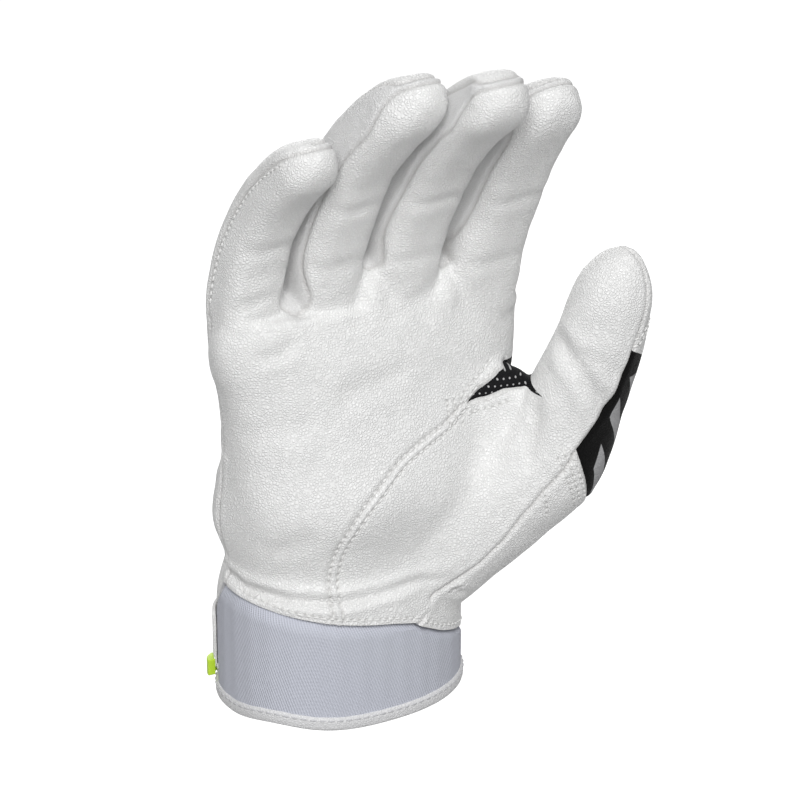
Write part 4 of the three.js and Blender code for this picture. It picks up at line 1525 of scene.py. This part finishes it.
@dataclass
class Shell:
    """The leather shell of the glove, divided into hand, fingers and thumb."""

    plan: SeamPlan
    skin: Skin
    leather: float = 0.9
    outside: float = -50.0
    tree: BVHTree = field(init=False)

    def __post_init__(self) -> None:
        """Keeps a search tree of the whole surface, for the stitches."""
        self.tree = BVHTree.FromBMesh(self.skin.bm)

    def divide(self) -> None:
        """Cuts the whole skin into the fingers, the thumb and the hand, above the hem."""
        plan, skin = self.plan, self.skin
        points = skin.base()
        skin.cut("hem", points[:, 2] - plan.hem_height(points))
        skin = self.skin = skin.part(skin.sides("hem") > 0.0)
        points = skin.base()
        off_thumb = ~plan.by_thumb(points)
        skin.cut("finger", np.where(off_thumb, points[:, 2] - plan.finger_cut, self.outside), off_thumb)
        spines = plan.stalls()
        for i, (one, other) in enumerate(zip(spines, spines[1:])):
            points = skin.base()
            high = (points[:, 2] > plan.finger_cut - 0.5) & ~plan.by_thumb(points)
            centre = 0.5 * (one.centre[:, 0].mean() + other.centre[:, 0].mean())
            close = np.abs(points[:, 0] - centre) < 9.0
            skin.cut(f"crotch_{i}", one.locate(points)[2] - other.locate(points)[2], high & close)
        points = skin.base()
        arc, _, reach = plan.thumb_size.spine().locate(points)
        near = (reach < 1.5) & (points[:, 1] < -12) & (points[:, 0] > 38)
        skin.cut("thumb", np.where(near, arc - plan.thumb_size.root_cut, self.outside), near)

    def finger_skin(self, number: int) -> Skin:
        """Faces of one finger."""
        wanted = self.skin.sides("finger") > 0.0
        if number > 0:
            wanted &= self.skin.sides(f"crotch_{number - 1}") > 0.0
        if number < 3:
            wanted &= self.skin.sides(f"crotch_{number}") < 0.0
        if number > 1:
            wanted &= self.skin.sides("crotch_0") > 0.0
        return self.skin.part(wanted)

    def thumb_skin(self) -> Skin:
        """Faces of the thumb past its root."""
        return self.skin.part(self.skin.sides("thumb") > 0.0)

    def hand_skin(self) -> Skin:
        """Faces of the hand itself."""
        return self.skin.part((self.skin.sides("thumb") <= 0.0) & (self.skin.sides("finger") <= 0.0))


@dataclass
class FingerStall:
    """One finger stall: front, back and fourchettes, in a root and a tip stretch."""

    size: FingerSize
    skin: Skin
    plan: SeamPlan
    leather: float

    def nodes(self, panel: Panel, zone: Zone) -> tuple[str, ...]:
        """CAD nodes that one panel's stretch stands for."""
        end, joint = ("lower", "root") if zone is Zone.ROOT else ("upper", "middle")
        sleeve = (f"{self.size.name}_{joint}_sleeve",) if panel is Panel.FRONT else ()
        return (f"{self.size.name}_{panel.value}_{end}", *sleeve)

    def panels(self, spine: Spine) -> dict[Panel, Array]:
        """Cuts the stall along its seams.

        Args:
            spine: Its centre line.

        Returns:
            The faces of each panel.
        """
        names = self.plan.seam_names(self.size)
        for name in names:
            values, cosine = self.plan.finger_seam(name, self.size, spine, self.skin.base())
            self.skin.cut(name, values, cosine > 0.0)
        self.skin.cut("split", spine.locate(self.skin.base())[0] - self.size.split)
        side = {name: self.skin.sides(name) for name in names}
        left = np.abs(spine.locate(self.skin.middles())[1] % 360.0 - 180.0) < 90.0
        made: dict[Panel, Array] = {}
        if Panel.ULNAR in self.size.sides:
            made[Panel.ULNAR] = left & (side["ulnar_front"] < 0.0) & (side["ulnar_back"] > 0.0)
        if Panel.RADIAL in self.size.sides:
            made[Panel.RADIAL] = ~left & (side["radial_front"] > 0.0) & (side["radial_back"] < 0.0)
        rest = ~np.any(list(made.values()), axis=0)
        over_left = side.get("ulnar_back", side.get("ulnar_outer"))
        over_right = side.get("radial_back", side.get("radial_outer"))
        behind = np.where(left, over_left < 0.0, over_right > 0.0)
        return made | {Panel.BACK: rest & behind, Panel.FRONT: rest & ~behind}

    def build(self) -> None:
        """Makes the stall's pieces."""
        panels = self.panels(self.size.spine())
        past = self.skin.sides("split") > 0.0
        movers = self.size.movers()
        for panel, mask in panels.items():
            finish = FOURCHETTE_LEATHER if panel in (Panel.ULNAR, Panel.RADIAL) else WHITE_LEATHER
            for zone in Zone:
                wanted = mask & (past if zone is Zone.TIP else ~past)
                if wanted.any():
                    name = f"{self.size.name}_{panel.value}_{zone.value}_leather"
                    mesh = self.skin.panel(wanted, self.leather)
                    make_piece(mesh, name, finish, movers[zone], self.nodes(panel, zone))


@dataclass
class ThumbStall:
    """The thumb past its root: white front, black lower back and white upper back."""

    skin: Skin
    plan: SeamPlan
    leather: float

    def build(self) -> None:
        """Cuts the thumb along its seams and makes its pieces."""
        plan, skin, size = self.plan, self.skin, self.plan.thumb_size
        spine = size.spine()
        skin.mark(spine)
        points = skin.base()
        skin.cut("outer", plan.outer_side(spine, points), np.abs(plan.outer_turn_off(spine, points)) < 90.0)
        values, cosine = plan.turn_side(spine, spine.locate(skin.base()), size.inner_seam)
        skin.cut("inner", values, cosine > 0.0)
        arc, angle, _ = spine.locate(skin.base())
        skin.cut("split", arc - size.split - size.split_slope * np.clip(-angle, 0.0, 45.0))
        angle = spine.locate(skin.middles())[1] % 360.0
        left = (angle > 90.0) & (angle < 250.0)
        front = np.where(left, skin.sides("inner") > 0.0, skin.sides("outer") > 0.0)
        past = skin.sides("split") > 0.0
        movers = size.movers()
        parts = (
            ("front_root_leather", front & ~past, WHITE_LEATHER, Zone.ROOT, ("front_lower", "root_sleeve")),
            ("front_tip_leather", front & past, WHITE_LEATHER, Zone.TIP, ("front_upper", "middle_sleeve")),
            ("back_root_panel", ~front & ~past, BLACK_LEATHER, Zone.ROOT, ("back_lower",)),
            ("back_tip_leather", ~front & past, WHITE_LEATHER, Zone.TIP, ("back_upper",)),
        )
        for name, wanted, finish, zone, nodes in parts:
            mesh = skin.panel(wanted, self.leather)
            make_piece(mesh, f"thumb_{name}", finish, movers[zone], tuple(f"thumb_{node}" for node in nodes))


@dataclass
class HandPanels:
    """Panels of the hand: palm, thumb heel, gusset, side, thumb back, back of the hand and knuckles."""

    skin: Skin
    plan: SeamPlan
    leather: float

    def cuts(self, thumb: Spine) -> dict[str, Callable[[Array], tuple[Array, Array]]]:
        """The hand's seams in the order in which they are cut.

        Args:
            thumb: The thumb's centre line.

        Returns:
            For each seam, what gives its field at points and where it is wanted.
        """
        plan = self.plan

        def web_wanted(p: Array) -> Array:
            """Where the web's line is a seam: past the thumb seam, but not inside the black panel."""
            clear = [plan.drawn_side(p, line) < 1.5 for line in (plan.black_edge, plan.black_back)]
            return (plan.palm_side(p) < 0.5) & (p[:, 2] > 66.0) & (clear[0] | clear[1])

        def gusset_wanted(p: Array) -> Array:
            """Where the gusset's lower edge is a seam."""
            return (p[:, 0] > 27.0) & (plan.palm_side(p) < 0.5) & (plan.web_side(p) < 1.0)

        def outer_wanted(p: Array) -> Array:
            """Where the thumb's outer seam runs over the hand."""
            return (np.abs(plan.outer_turn_off(thumb, p)) < 90.0) & (p[:, 0] > 2.0) & (p[:, 1] < 3.0)

        return {
            "palm": lambda p: (plan.palm_side(p), p[:, 1] < 6.0),
            "border": lambda p: (p[:, 1] - plan.hand_seam_y, plan.palm_side(p) > -0.5),
            "web": lambda p: (plan.web_side(p), web_wanted(p)),
            "gusset": lambda p: (plan.gusset_side(p), gusset_wanted(p)),
            "outer": lambda p: (plan.outer_side(thumb, p), outer_wanted(p)),
            "knuckle": lambda p: (p[:, 2] - plan.knuckle_seam, (p[:, 1] > 2.0) | (plan.web_side(p) > -1.0)),
            "inset": lambda p: (plan.knuckle_inset(p), p[:, 2] > plan.knuckle_seam - 3.0),
            "black": lambda p: (plan.black_side(p), p[:, 0] > 10.0),
            "heel": lambda p: (p[:, 0] - plan.heel_seam_x, (p[:, 1] > -8.0) & (p[:, 2] < 90.0)),
        }

    def build(self) -> None:
        """Cuts the hand along its seams and makes its pieces."""
        plan, skin = self.plan, self.skin
        thumb = plan.thumb_size.spine()
        cuts = self.cuts(thumb)
        for name, seam in cuts.items():
            skin.cut(name, *seam(skin.base()))
        skin.mark(thumb)
        side = {name: skin.sides(name) > 0.0 for name in cuts}
        mean = skin.middles()
        arc, _, reach = thumb.locate(mean)
        by_outer = np.abs(plan.outer_turn_off(thumb, mean)) < 90.0
        in_front = np.where(by_outer, side["outer"], mean[:, 0] < 45.0) | (mean[:, 0] < 4.0)
        over = side["palm"]
        back = np.where(over, side["border"], side["web"])
        low = ~over & ~back
        on_thumb = (reach < 0.99) & (arc > 72.0)
        gusset = low & side["gusset"] & (mean[:, 0] > 27.0) & ~on_thumb
        heel = low & ~gusset & in_front
        right = low & ~gusset & ~heel
        knuckle = back & side["knuckle"] & side["inset"]
        behind = back & ~knuckle
        black = (behind | right) & side["black"]
        sides = (right | (behind & side["heel"])) & ~black
        parts = (
            ("palm_leather", over & ~back, WHITE_LEATHER, "palm_panel"),
            ("thumb_heel_leather", heel, WHITE_LEATHER, "thumb_heel_panel"),
            ("thumb_crotch_mesh", gusset, BLACK_MESH, "thumb_crotch_gusset"),
            ("side_leather", sides, WHITE_LEATHER, "side_panel"),
            ("thumb_back_barred_panel", black, BLACK_LEATHER, "thumb_back_panel"),
            ("knuckle_knit", knuckle, BLACK_KNIT, "knuckle_panel"),
            ("back_hand_leather", behind & ~black & ~sides, WHITE_LEATHER, "back_hand_panel"),
        )
        for name, wanted, finish, node in parts:
            make_piece(skin.panel(wanted, self.leather), name, finish, HAND, (node,))


def add_stitch(bm: BMesh, place: Vector, ahead: Vector, normal: Vector, length: float, radius: float) -> None:
    """Adds one stitch, a slim grain of thread.

    Args:
        bm: The mesh that takes it.
        place: Its middle.
        ahead: Direction of its row, of length 1.
        normal: Direction out of the leather, of length 1.
        length: Its length.
        radius: Half its thickness.
    """
    turn = Matrix((ahead, normal.cross(ahead), normal)).transposed().to_4x4()
    size = Matrix.Diagonal((length / 2, radius, radius, 1.0))
    put = Matrix.Translation(place) @ turn @ size @ Matrix.Rotation(math.pi / 2, 4, "Y")
    bmesh.ops.create_uvsphere(bm, u_segments=6, v_segments=5, radius=1.0, matrix=put)


STITCH_SHARP = 80.0  # angle past which a stitch's edges stay sharp


@dataclass(frozen=True)
class Row:
    """A row of stitches, with the middle of each stitch on the smooth skin."""

    name: str
    places: Array
    mover: Ride | Bend = HAND
    length: float = 1.55
    radius: float = 0.27
    proud: float = 0.08

    def build(self, tree: BVHTree) -> None:
        """Sets the stitches on the surface and makes the piece.

        Args:
            tree: Search tree of the shaped surface.
        """
        bm = bmesh.new()
        found = [tree.find_nearest(Vector(place)) for place in self.places]
        for i, (place, normal, _, _) in enumerate(found):
            ahead = found[min(i + 1, len(found) - 1)][0] - found[max(i - 1, 0)][0]
            ahead -= normal * ahead.dot(normal)
            ahead.normalize()
            add_stitch(bm, place + normal * self.proud, ahead, normal, self.length, self.radius)
        make_piece(bm, self.name, WHITE_THREAD, self.mover, sharp=STITCH_SHARP)


@dataclass
class Needlework:
    """The rows of stitches that show."""

    plan: SeamPlan
    pitch: float = 2.15
    length: float = 1.5
    tack_share: float = 0.7
    rows: list[Row] = field(default_factory=list)

    def front_lines(self) -> dict[str, Array]:
        """Rows seen from the palm side, as x and z."""
        plan = self.plan
        palm = curved(np.array(plan.thumb_seam, float), 8)
        palm = palm[palm[:, 1] > 33.6]
        top, low = np.array(plan.gusset_top[:3], float), np.array(plan.gusset_low[:3], float)
        hem, edge = np.array(plan.hem, float), np.array(plan.black_edge[1:4], float)
        lines = {
            "thumb_seam_stitches_palm": offset_line(palm, 1.1),
            "thumb_seam_stitches_heel": offset_line(palm, -1.1),
            "gusset_stitches_top_inner": offset_line(top, 1.1),
            "gusset_stitches_top_outer": offset_line(top, 3.1),
            "gusset_stitches_low_inner": offset_line(low, -1.1),
            "gusset_stitches_low_outer": offset_line(low, -3.1),
            "palm_hem_stitches": hem[1:6] + (0.0, 1.5),
            "side_hem_stitches": hem[6:10] + (0.3, 1.5),
            "side_short_stitches": np.array([(43.2, 62.0), (44.6, 54.5)]),
        }
        for i in range(3):
            tack = [(22.2 + 2.3 * i, 88.4 - 0.3 * i), (22.0 + 2.3 * i, 81.0 - 0.6 * i)]
            lines[f"side_edge_stitches_{i}"] = offset_line(edge, -1.3 - 1.7 * i)
            lines[f"bar_tack_stitches_{i}"] = np.array(tack)
        return lines

    def back_lines(self) -> dict[str, Array]:
        """Rows seen from the back, as x and z."""
        edge = np.array(self.plan.black_back[:4], float)
        z, x = self.plan.knuckle_seam - 1.5, self.plan.heel_seam_x - 1.4
        return {
            "knuckle_stitches": np.array([(-30.0, z), (12.0, z)]),
            "black_back_stitches_0": offset_line(edge, -1.4),
            "black_back_stitches_1": offset_line(edge, -3.2),
            "heel_seam_stitches": np.array([(x, 32.0), (x, 80.0)]),
        }

    def lay(self, tree: BVHTree) -> None:
        """Lays out the rows on the smooth skin.

        Args:
            tree: Search tree of the smooth skin.
        """
        for side, lines in ((-1.0, self.front_lines()), (1.0, self.back_lines())):
            for name, line in lines.items():
                close = self.tack_share if name.startswith("bar_tack") else 1.0
                places = spaced(self.drop(tree, spaced(line, STEP), side), self.pitch * close)
                self.rows.append(Row(name, places, length=self.length * close))
        little, turn = FINGERS[3], self.plan.outer_turn + 9.0
        spine = little.spine()
        spans = {Zone.ROOT: (1.0, little.split), Zone.TIP: (little.split + 1.0, little.length - 7.0)}
        for zone, span in spans.items():
            path = np.array([spine.at(arc, turn, 1.0) for arc in np.arange(*span, STEP)])
            mover = little.movers()[zone]
            self.rows.append(Row(f"little_outer_stitches_{zone.value}", spaced(path, self.pitch), mover))
        thumb = self.plan.thumb_size
        spine = thumb.spine()
        for i, arc in enumerate((100.0, 102.2)):
            path = np.array([spine.at(arc - thumb.split_slope * max(turn, 0.0), -turn, 1.0)
                             for turn in np.arange(36.0, -60.0, -3.0)])
            mover = thumb.movers()[Zone.TIP]
            self.rows.append(Row(f"thumb_tab_stitches_{i}", spaced(path, self.pitch), mover))

    @staticmethod
    def drop(tree: BVHTree, line: Array, side: float) -> Array:
        """Drops a line seen from the palm side or the back onto the surface.

        Args:
            tree: Search tree of the surface.
            line: Rows of x and z.
            side: -1 for the palm side, 1 for the back.

        Returns:
            Rows of three coordinates on the surface.
        """
        hits = [tree.ray_cast(Vector((x, 150.0 * side, z)), Vector((0.0, -side, 0.0)))[0] for x, z in line]
        return np.array([tuple(hit) for hit in hits if hit is not None])

    def holes(self) -> KDTree:
        """Search tree of the needle holes, between neighbouring stitches."""
        found = np.vstack([(row.places[1:] + row.places[:-1]) / 2.0 for row in self.rows])
        tree = KDTree(len(found))
        for i, place in enumerate(found):
            tree.insert(place, i)
        tree.balance()
        return tree

    def build(self, tree: BVHTree) -> None:
        """Makes each row on the shaped surface."""
        for row in self.rows:
            row.build(tree)


@dataclass(frozen=True)
class Wrist:
    """Outline of the cuff's outer face, a rounded box."""

    centre: float = 0.3
    half: Pair = (33.9, 26.6)
    squareness: float = 2.3

    STEPS = np.linspace(-40.0, 400.0, 1761)

    def rim(self, angle: Array, height: Array, stand: Array) -> Array:
        """Points round the wrist.

        Args:
            angle: Angles in degrees: 0 thumb side, 90 back, 180 little-finger side, 270 palm.
            height: Heights above the rim.
            stand: Distances out from the cuff's outer face.

        Returns:
            Rows of coordinates.
        """
        turn = np.radians(angle)
        x = self.half[0] * squared(np.cos(turn), self.squareness)
        y = self.half[1] * squared(np.sin(turn), self.squareness)
        power = self.squareness - 1.0
        nx = np.sign(x) * np.abs(x / self.half[0]) ** power / self.half[0]
        ny = np.sign(y) * np.abs(y / self.half[1]) ** power / self.half[1]
        size = np.hypot(nx, ny)
        return np.stack([self.centre + x + stand * nx / size, y + stand * ny / size, height], axis=1)

    def flat(self, angle: Array) -> Array:
        """Points of the outline itself, at the rim."""
        return self.rim(angle, np.zeros(len(angle)), np.zeros(len(angle)))

    def arc_length(self, angle: Array) -> Array:
        """Distance round the cuff at angles."""
        return np.interp(angle, self.STEPS, run_along(self.flat(self.STEPS)))

    def angle_at(self, distance: Array) -> Array:
        """Angle at distances round the cuff."""
        return np.interp(distance, self.arc_length(self.STEPS), self.STEPS)


WRIST = Wrist()


def level(height: float) -> Field:
    """A strip's edge at one height all round."""
    return lambda angle: np.full(len(angle), height)


@dataclass
class Wrap:
    """A strip wrapped round the wrist."""

    low: Field
    high: Field
    stand: Callable[[Array, Array], Array]
    start: float
    end: float
    thickness: float
    columns: int
    rows: int
    edge: float = 0.3

    def mesh(self) -> BMesh:
        """The strip with its thickness inwards, softened edges, and its place stored for the weave."""
        bm = bmesh.new()
        bmesh.ops.create_grid(bm, x_segments=self.columns, y_segments=self.rows, size=1.0)
        share = np.array([vert.co[:2] for vert in bm.verts]) * 0.5 + 0.5
        first, last = WRIST.arc_length(np.array([self.start, self.end]))
        angle = WRIST.angle_at(first + share[:, 0] * (last - first))
        low, high = self.low(angle), self.high(angle)
        height = low + share[:, 1] * (high - low)
        arc = WRIST.arc_length(angle)
        along, up = bm.verts.layers.float.new("along"), bm.verts.layers.float.new("up")
        for i, (vert, point) in enumerate(zip(bm.verts, WRIST.rim(angle, height, self.stand(angle, height)))):
            vert.co = point
            vert[along], vert[up] = arc[i], height[i]
        bmesh.ops.recalc_face_normals(bm, faces=bm.faces)
        middle = bm.faces[:][len(bm.faces) // 2]
        place = middle.calc_center_median()
        if middle.normal.dot(place - Vector((WRIST.centre, 0.0, place.z))) < 0.0:
            bmesh.ops.reverse_faces(bm, faces=bm.faces)
        bmesh.ops.solidify(bm, geom=bm.faces, thickness=self.thickness)
        limit = math.radians(60)
        corner = [e for e in bm.edges if len(e.link_faces) == 2 and e.calc_face_angle(0.0) > limit]
        bmesh.ops.bevel(bm, geom=corner, offset=self.edge, segments=2, profile=0.5, affect="EDGES",
                        material=-1, clamp_overlap=True)
        return bm


@dataclass
class Cuff:
    """Elastic band, leather flaps and the bound rim."""

    plan: SeamPlan
    band: Pair = (160.0, 380.0)
    flaps: Pair = (18.0, 162.0)
    slit: float = 1.0
    gather: float = 0.07
    gather_pitch: float = 6.3
    proud: float = 0.15
    tuck_depth: float = 3.2
    tuck_start: float = 2.2
    tuck_run: float = 2.8
    lap: float = 1.2
    foot: float = 2.0
    tape_half: Pair = (1.55, 2.15)
    tape_squareness: float = 3.0
    tape_in: float = 0.7
    tape_rings: int = 150
    raised: float = 2.3
    stitch_height: float = 3.3
    stitch_pitch: float = 2.5

    def tuck(self, angle: Array, height: Array) -> Array:
        """Draws the strip in under the leather's hem."""
        hem = self.plan.hem_height(WRIST.flat(angle))
        under = ease((height - hem + self.tuck_start) / self.tuck_run)
        turns = WRIST.arc_length(angle) * 2.0 * np.pi / self.gather_pitch
        wave = self.gather * np.sin(turns) * ease(height / 10.0)
        return wave * (1.0 - under) + self.proud - self.tuck_depth * under

    def top(self, angle: Array) -> Array:
        """Upper edge of the band, hidden under the leather."""
        return self.plan.hem_height(WRIST.flat(angle)) + self.lap

    def rim_lift(self, angle: Array) -> Array:
        """How far the soft rim is raised at the front corner."""
        return self.raised * bump(angle - 213.0, 26.0)

    def build(self) -> None:
        """Makes the cuff's pieces."""
        band = Wrap(lambda a: self.foot + self.rim_lift(a), self.top, self.tuck, *self.band, 1.5, 150, 16)
        make_piece(band.mesh(), "cuff_elastic_band", GREY_ELASTIC, HAND, ("cuff_band",))
        spans = {"thumb": (self.flaps[0], 90.0 - self.slit), "little": (90.0 + self.slit, self.flaps[1])}
        for name, span in spans.items():
            flap = Wrap(level(self.foot), self.top, lambda a, h: self.tuck(a, h) - 0.05, *span, 1.2, 50, 14)
            make_piece(flap.mesh(), f"cuff_{name}_leather_flap", WHITE_LEATHER, HAND, (f"cuff_{name}_flap",))
        self.binding()
        self.stitches()

    def binding(self) -> None:
        """Makes the folded tape on the rim."""
        bm = bmesh.new()
        along, up = bm.verts.layers.float.new("along"), bm.verts.layers.float.new("up")
        turn = full_turn(20)
        out = self.tape_half[0] * squared(np.cos(turn), self.tape_squareness) - self.tape_in
        rise = self.tape_half[1] * squared(np.sin(turn), self.tape_squareness) + self.tape_half[1]
        start, end = WRIST.arc_length(np.array([0.0, 360.0]))
        rings = []
        for i in range(self.tape_rings):
            share = i / self.tape_rings
            angle = np.full(len(turn), 360.0 * share)
            verts, edges = add_ring(bm, WRIST.rim(angle, rise + self.rim_lift(angle), out))
            for vert, height in zip(verts, rise):
                vert[along], vert[up] = (end - start) * share, height
            rings.append(edges)
        for low, high in zip(rings, rings[1:] + rings[:1]):
            bmesh.ops.bridge_loops(bm, edges=low + high)
        bmesh.ops.recalc_face_normals(bm, faces=bm.faces)
        make_piece(bm, "cuff_binding_tape", GREY_TAPE, HAND, ("cuff_binding",), sharp=70.0)

    def stitches(self) -> None:
        """Makes the row of stitches round the tape."""
        angle = np.linspace(0.0, 360.0, 200)
        stand = np.full(len(angle), self.tape_half[0] - self.tape_in)
        places = spaced(WRIST.rim(angle, self.stitch_height + self.rim_lift(angle), stand), self.stitch_pitch)
        bm = bmesh.new()
        for i, place in enumerate(places[:-1]):
            ahead = Vector(places[i + 1] - places[i - 1 if i else -2]).normalized()
            normal = ahead.cross(Vector((0.0, 0.0, 1.0))).normalized()
            add_stitch(bm, Vector(place) - normal * 0.05, ahead, normal, 1.9, 0.26)
        make_piece(bm, "binding_stitches", GREY_THREAD, HAND, sharp=STITCH_SHARP)


@dataclass
class WristStrap:
    """Closing strap across the back of the wrist, with its hook pad, loop patch and pull tab."""

    strap: Pair = (38.0, 155.0)
    heights: Pair = (5.0, 24.0)
    thick: float = 0.9
    stand: Pair = (0.3, 0.9)
    ramp: float = 26.0
    end_ramp: Pair = (146.0, 8.0)
    corner: float = 7.0
    corner_turn: float = 1.9
    end_rows: Pair = (41.0, 47.0)
    end_heights: tuple[float, float, float] = (7.0, 22.5, 2.15)
    tape_thick: float = 0.35
    tab_middle: float = 153.0

    def rise(self, angle: Array, height: Array) -> Array:
        """Outer face of the strap, which climbs from its sewn end."""
        climb = ease((angle - self.strap[0]) / self.ramp)
        fall = ease((angle - self.end_ramp[0]) / self.end_ramp[1])
        return self.stand[0] + (self.stand[1] - self.stand[0]) * (climb - fall) + self.thick

    def inset(self, angle: Array) -> Array:
        """How far the rounded corner of the free end stands in from the strap's edge."""
        run = self.corner * self.corner_turn
        left = np.clip((angle - (self.strap[1] - run)) / run, 0.0, 1.0)
        return self.corner * (1.0 - np.sqrt(np.clip(1.0 - left**2, 0.0, 1.0)))

    def low_edge(self, angle: Array) -> Array:
        """Height of the strap's lower edge."""
        return self.heights[0] + 0.35 * self.inset(angle)

    def high_edge(self, angle: Array) -> Array:
        """Height of the strap's upper edge."""
        return self.heights[1] - self.inset(angle)

    def tab_face(self, angle: Array, height: Array) -> Array:
        """Outer face of the pull tab, highest in its middle."""
        return 3.2 - 0.03 * (angle - self.tab_middle) ** 2

    def tape(self, heights: Pair, span: Pair, stand: float) -> BMesh:
        """Flat strip of hook or loop tape.

        Args:
            heights: Its lower and upper edge.
            span: Angles of its ends.
            stand: Distance of its outer face from the cuff.

        Returns:
            The strip's mesh.
        """
        low, high = level(heights[0]), level(heights[1])
        strip = Wrap(low, high, lambda a, h: np.full(len(a), stand), *span, self.tape_thick, 40, 10, 0.2)
        return strip.mesh()

    def build(self) -> None:
        """Makes the strap's pieces."""
        strap = Wrap(self.low_edge, self.high_edge, self.rise, *self.strap, self.thick, 90, 12, 0.45)
        mesh = strap.mesh()
        tree = BVHTree.FromBMesh(mesh)
        make_piece(mesh, "wrist_strap_leather", WHITE_LEATHER, STRAP_BODY, ("wrist_strap",))
        height = np.arange(*self.end_heights)
        for i, angle in enumerate(self.end_rows):
            places = WRIST.rim(np.full(len(height), angle), height, np.full(len(height), 3.0))
            Row(f"strap_end_stitches_{i}", places, STRAP_BODY).build(tree)
        hooks = self.tape((7.5, 21.5), (108.0, 146.0), 0.87)
        make_piece(hooks, "strap_hook_tape", HOOK_TAPE, STRAP_BODY, ("strap_hook_pad",))
        loops = self.tape((6.0, 23.0), (98.0, 145.0), 0.5)
        make_piece(loops, "wrist_loop_tape", LOOP_TAPE, HAND, ("wrist_loop_patch",))
        tab = Wrap(level(4.6), level(9.4), self.tab_face, 147.0, 157.0, 2.2, 18, 8, 0.7)
        make_piece(tab.mesh(), "strap_lime_tab", LIME_RUBBER, STRAP_BODY, ("strap_pull_tab",))


@dataclass
class Studio:
    """Camera, lamps, pale floor and white surround."""

    target: Point = (30.38, 18.92, 70.91)
    azimuth: float = -30.0
    elevation: float = 24.0
    distance: float = 1000.0
    lens: float = 162.9
    floor: float = -400.0
    lit: Point = (0.02, 0.0, 0.09)
    world_light: float = 0.285
    floor_light: float = 0.92
    floor_tone: float = 0.42

    def build(self) -> None:
        """Makes the camera, the lamps and the floor."""
        scene = bpy.context.scene
        scene.view_settings.view_transform = "Standard"
        turn, rise = math.radians(self.azimuth), math.radians(self.elevation)
        back = Vector((math.sin(turn) * math.cos(rise), -math.cos(turn) * math.cos(rise), math.sin(rise)))
        camera = bpy.data.cameras.new("camera")
        camera.lens = self.lens
        camera.sensor_width = 36.0
        camera.clip_start, camera.clip_end = 0.05, 50.0
        eye = bpy.data.objects.new("camera", camera)
        eye.location = (Vector(self.target) + back * self.distance) * MM
        eye.rotation_euler = (-back).to_track_quat("-Z", "Y").to_euler()
        scene.collection.objects.link(eye)
        scene.camera = eye
        self.lamp("key", (-0.61, -1.16, 1.1), 0.7, 24.5)
        self.lamp("back", (0.5, 1.4, 0.45), 1.0, 9.0)
        self.surround()
        self.ground()

    def lamp(self, name: str, place: Point, size: float, power: float) -> None:
        """Makes a square soft lamp that faces the glove.

        Args:
            name: The lamp's name.
            place: Its place in metres.
            size: Side of its square in metres.
            power: Its power in watts.
        """
        data = bpy.data.lights.new(name, "AREA")
        data.shape, data.size, data.energy = "SQUARE", size, power
        made = bpy.data.objects.new(name, data)
        made.location = place
        made.rotation_euler = (Vector(self.lit) - Vector(place)).to_track_quat("-Z", "Y").to_euler()
        bpy.context.scene.collection.objects.link(made)

    @staticmethod
    def seen(tree: Tree) -> Socket:
        """1 where the camera or a reflection looks, 0 for other light."""
        path = tree.add("ShaderNodeLightPath").outputs
        return tree.math("MAXIMUM", path["Is Camera Ray"], path["Is Glossy Ray"])

    def surround(self) -> None:
        """Soft white light from all round, pure white to the camera."""
        world = bpy.data.worlds.new("studio")
        world.use_nodes = True
        bpy.context.scene.world = world
        tree = Tree(world.node_tree)
        strength = tree.math("MULTIPLY_ADD", self.seen(tree), 1.0 - self.world_light, self.world_light)
        shade = tree.add("ShaderNodeBackground", {"Color": (1.0, 1.0, 1.0, 1.0), "Strength": strength})
        tree.add("ShaderNodeOutputWorld", {"Surface": shade.outputs[0]})

    def ground(self) -> None:
        """Pale floor well below the cuff, which takes the shadow."""
        bm = bmesh.new()
        bmesh.ops.create_grid(bm, x_segments=4, y_segments=4, size=12.0)
        mesh = bpy.data.meshes.new("floor")
        bm.to_mesh(mesh)
        bm.free()
        made = bpy.data.materials.new("pale_floor")
        made.use_nodes = True
        tree = Tree(made.node_tree)
        strength = tree.math("MULTIPLY", self.seen(tree), self.floor_light)
        paint = tree.add("ShaderNodeBsdfDiffuse", {"Color": (*[self.floor_tone] * 3, 1.0)})
        glow = tree.add("ShaderNodeEmission", {"Color": (1.0, 1.0, 1.0, 1.0), "Strength": strength})
        both = tree.add("ShaderNodeAddShader", {0: paint.outputs[0], 1: glow.outputs[0]})
        tree.add("ShaderNodeOutputMaterial", {"Surface": both.outputs[0]})
        mesh.materials.append(made)
        floor = bpy.data.objects.new("floor", mesh)
        floor.location = (0.0, 0.0, self.floor * MM)
        bpy.context.scene.collection.objects.link(floor)


def main() -> None:
    """Builds the glove and its studio."""
    logging.basicConfig(level=logging.INFO, format="%(message)s")
    Studio().build()
    plan = SeamPlan()
    skin = HandForm(plan).surface()
    LOG.info("skin: %d faces", len(skin.bm.faces))
    needlework = Needlework(plan)
    Relief(plan, needlework).press(skin)
    shell = Shell(plan, skin)
    shell.divide()
    for number, size in enumerate(FINGERS):
        FingerStall(size, shell.finger_skin(number), plan, shell.leather).build()
    ThumbStall(shell.thumb_skin(), plan, shell.leather).build()
    HandPanels(shell.hand_skin(), plan, shell.leather).build()
    needlework.build(shell.tree)
    Cuff(plan).build()
    WristStrap().build()


if __name__ == "__main__":
    main()
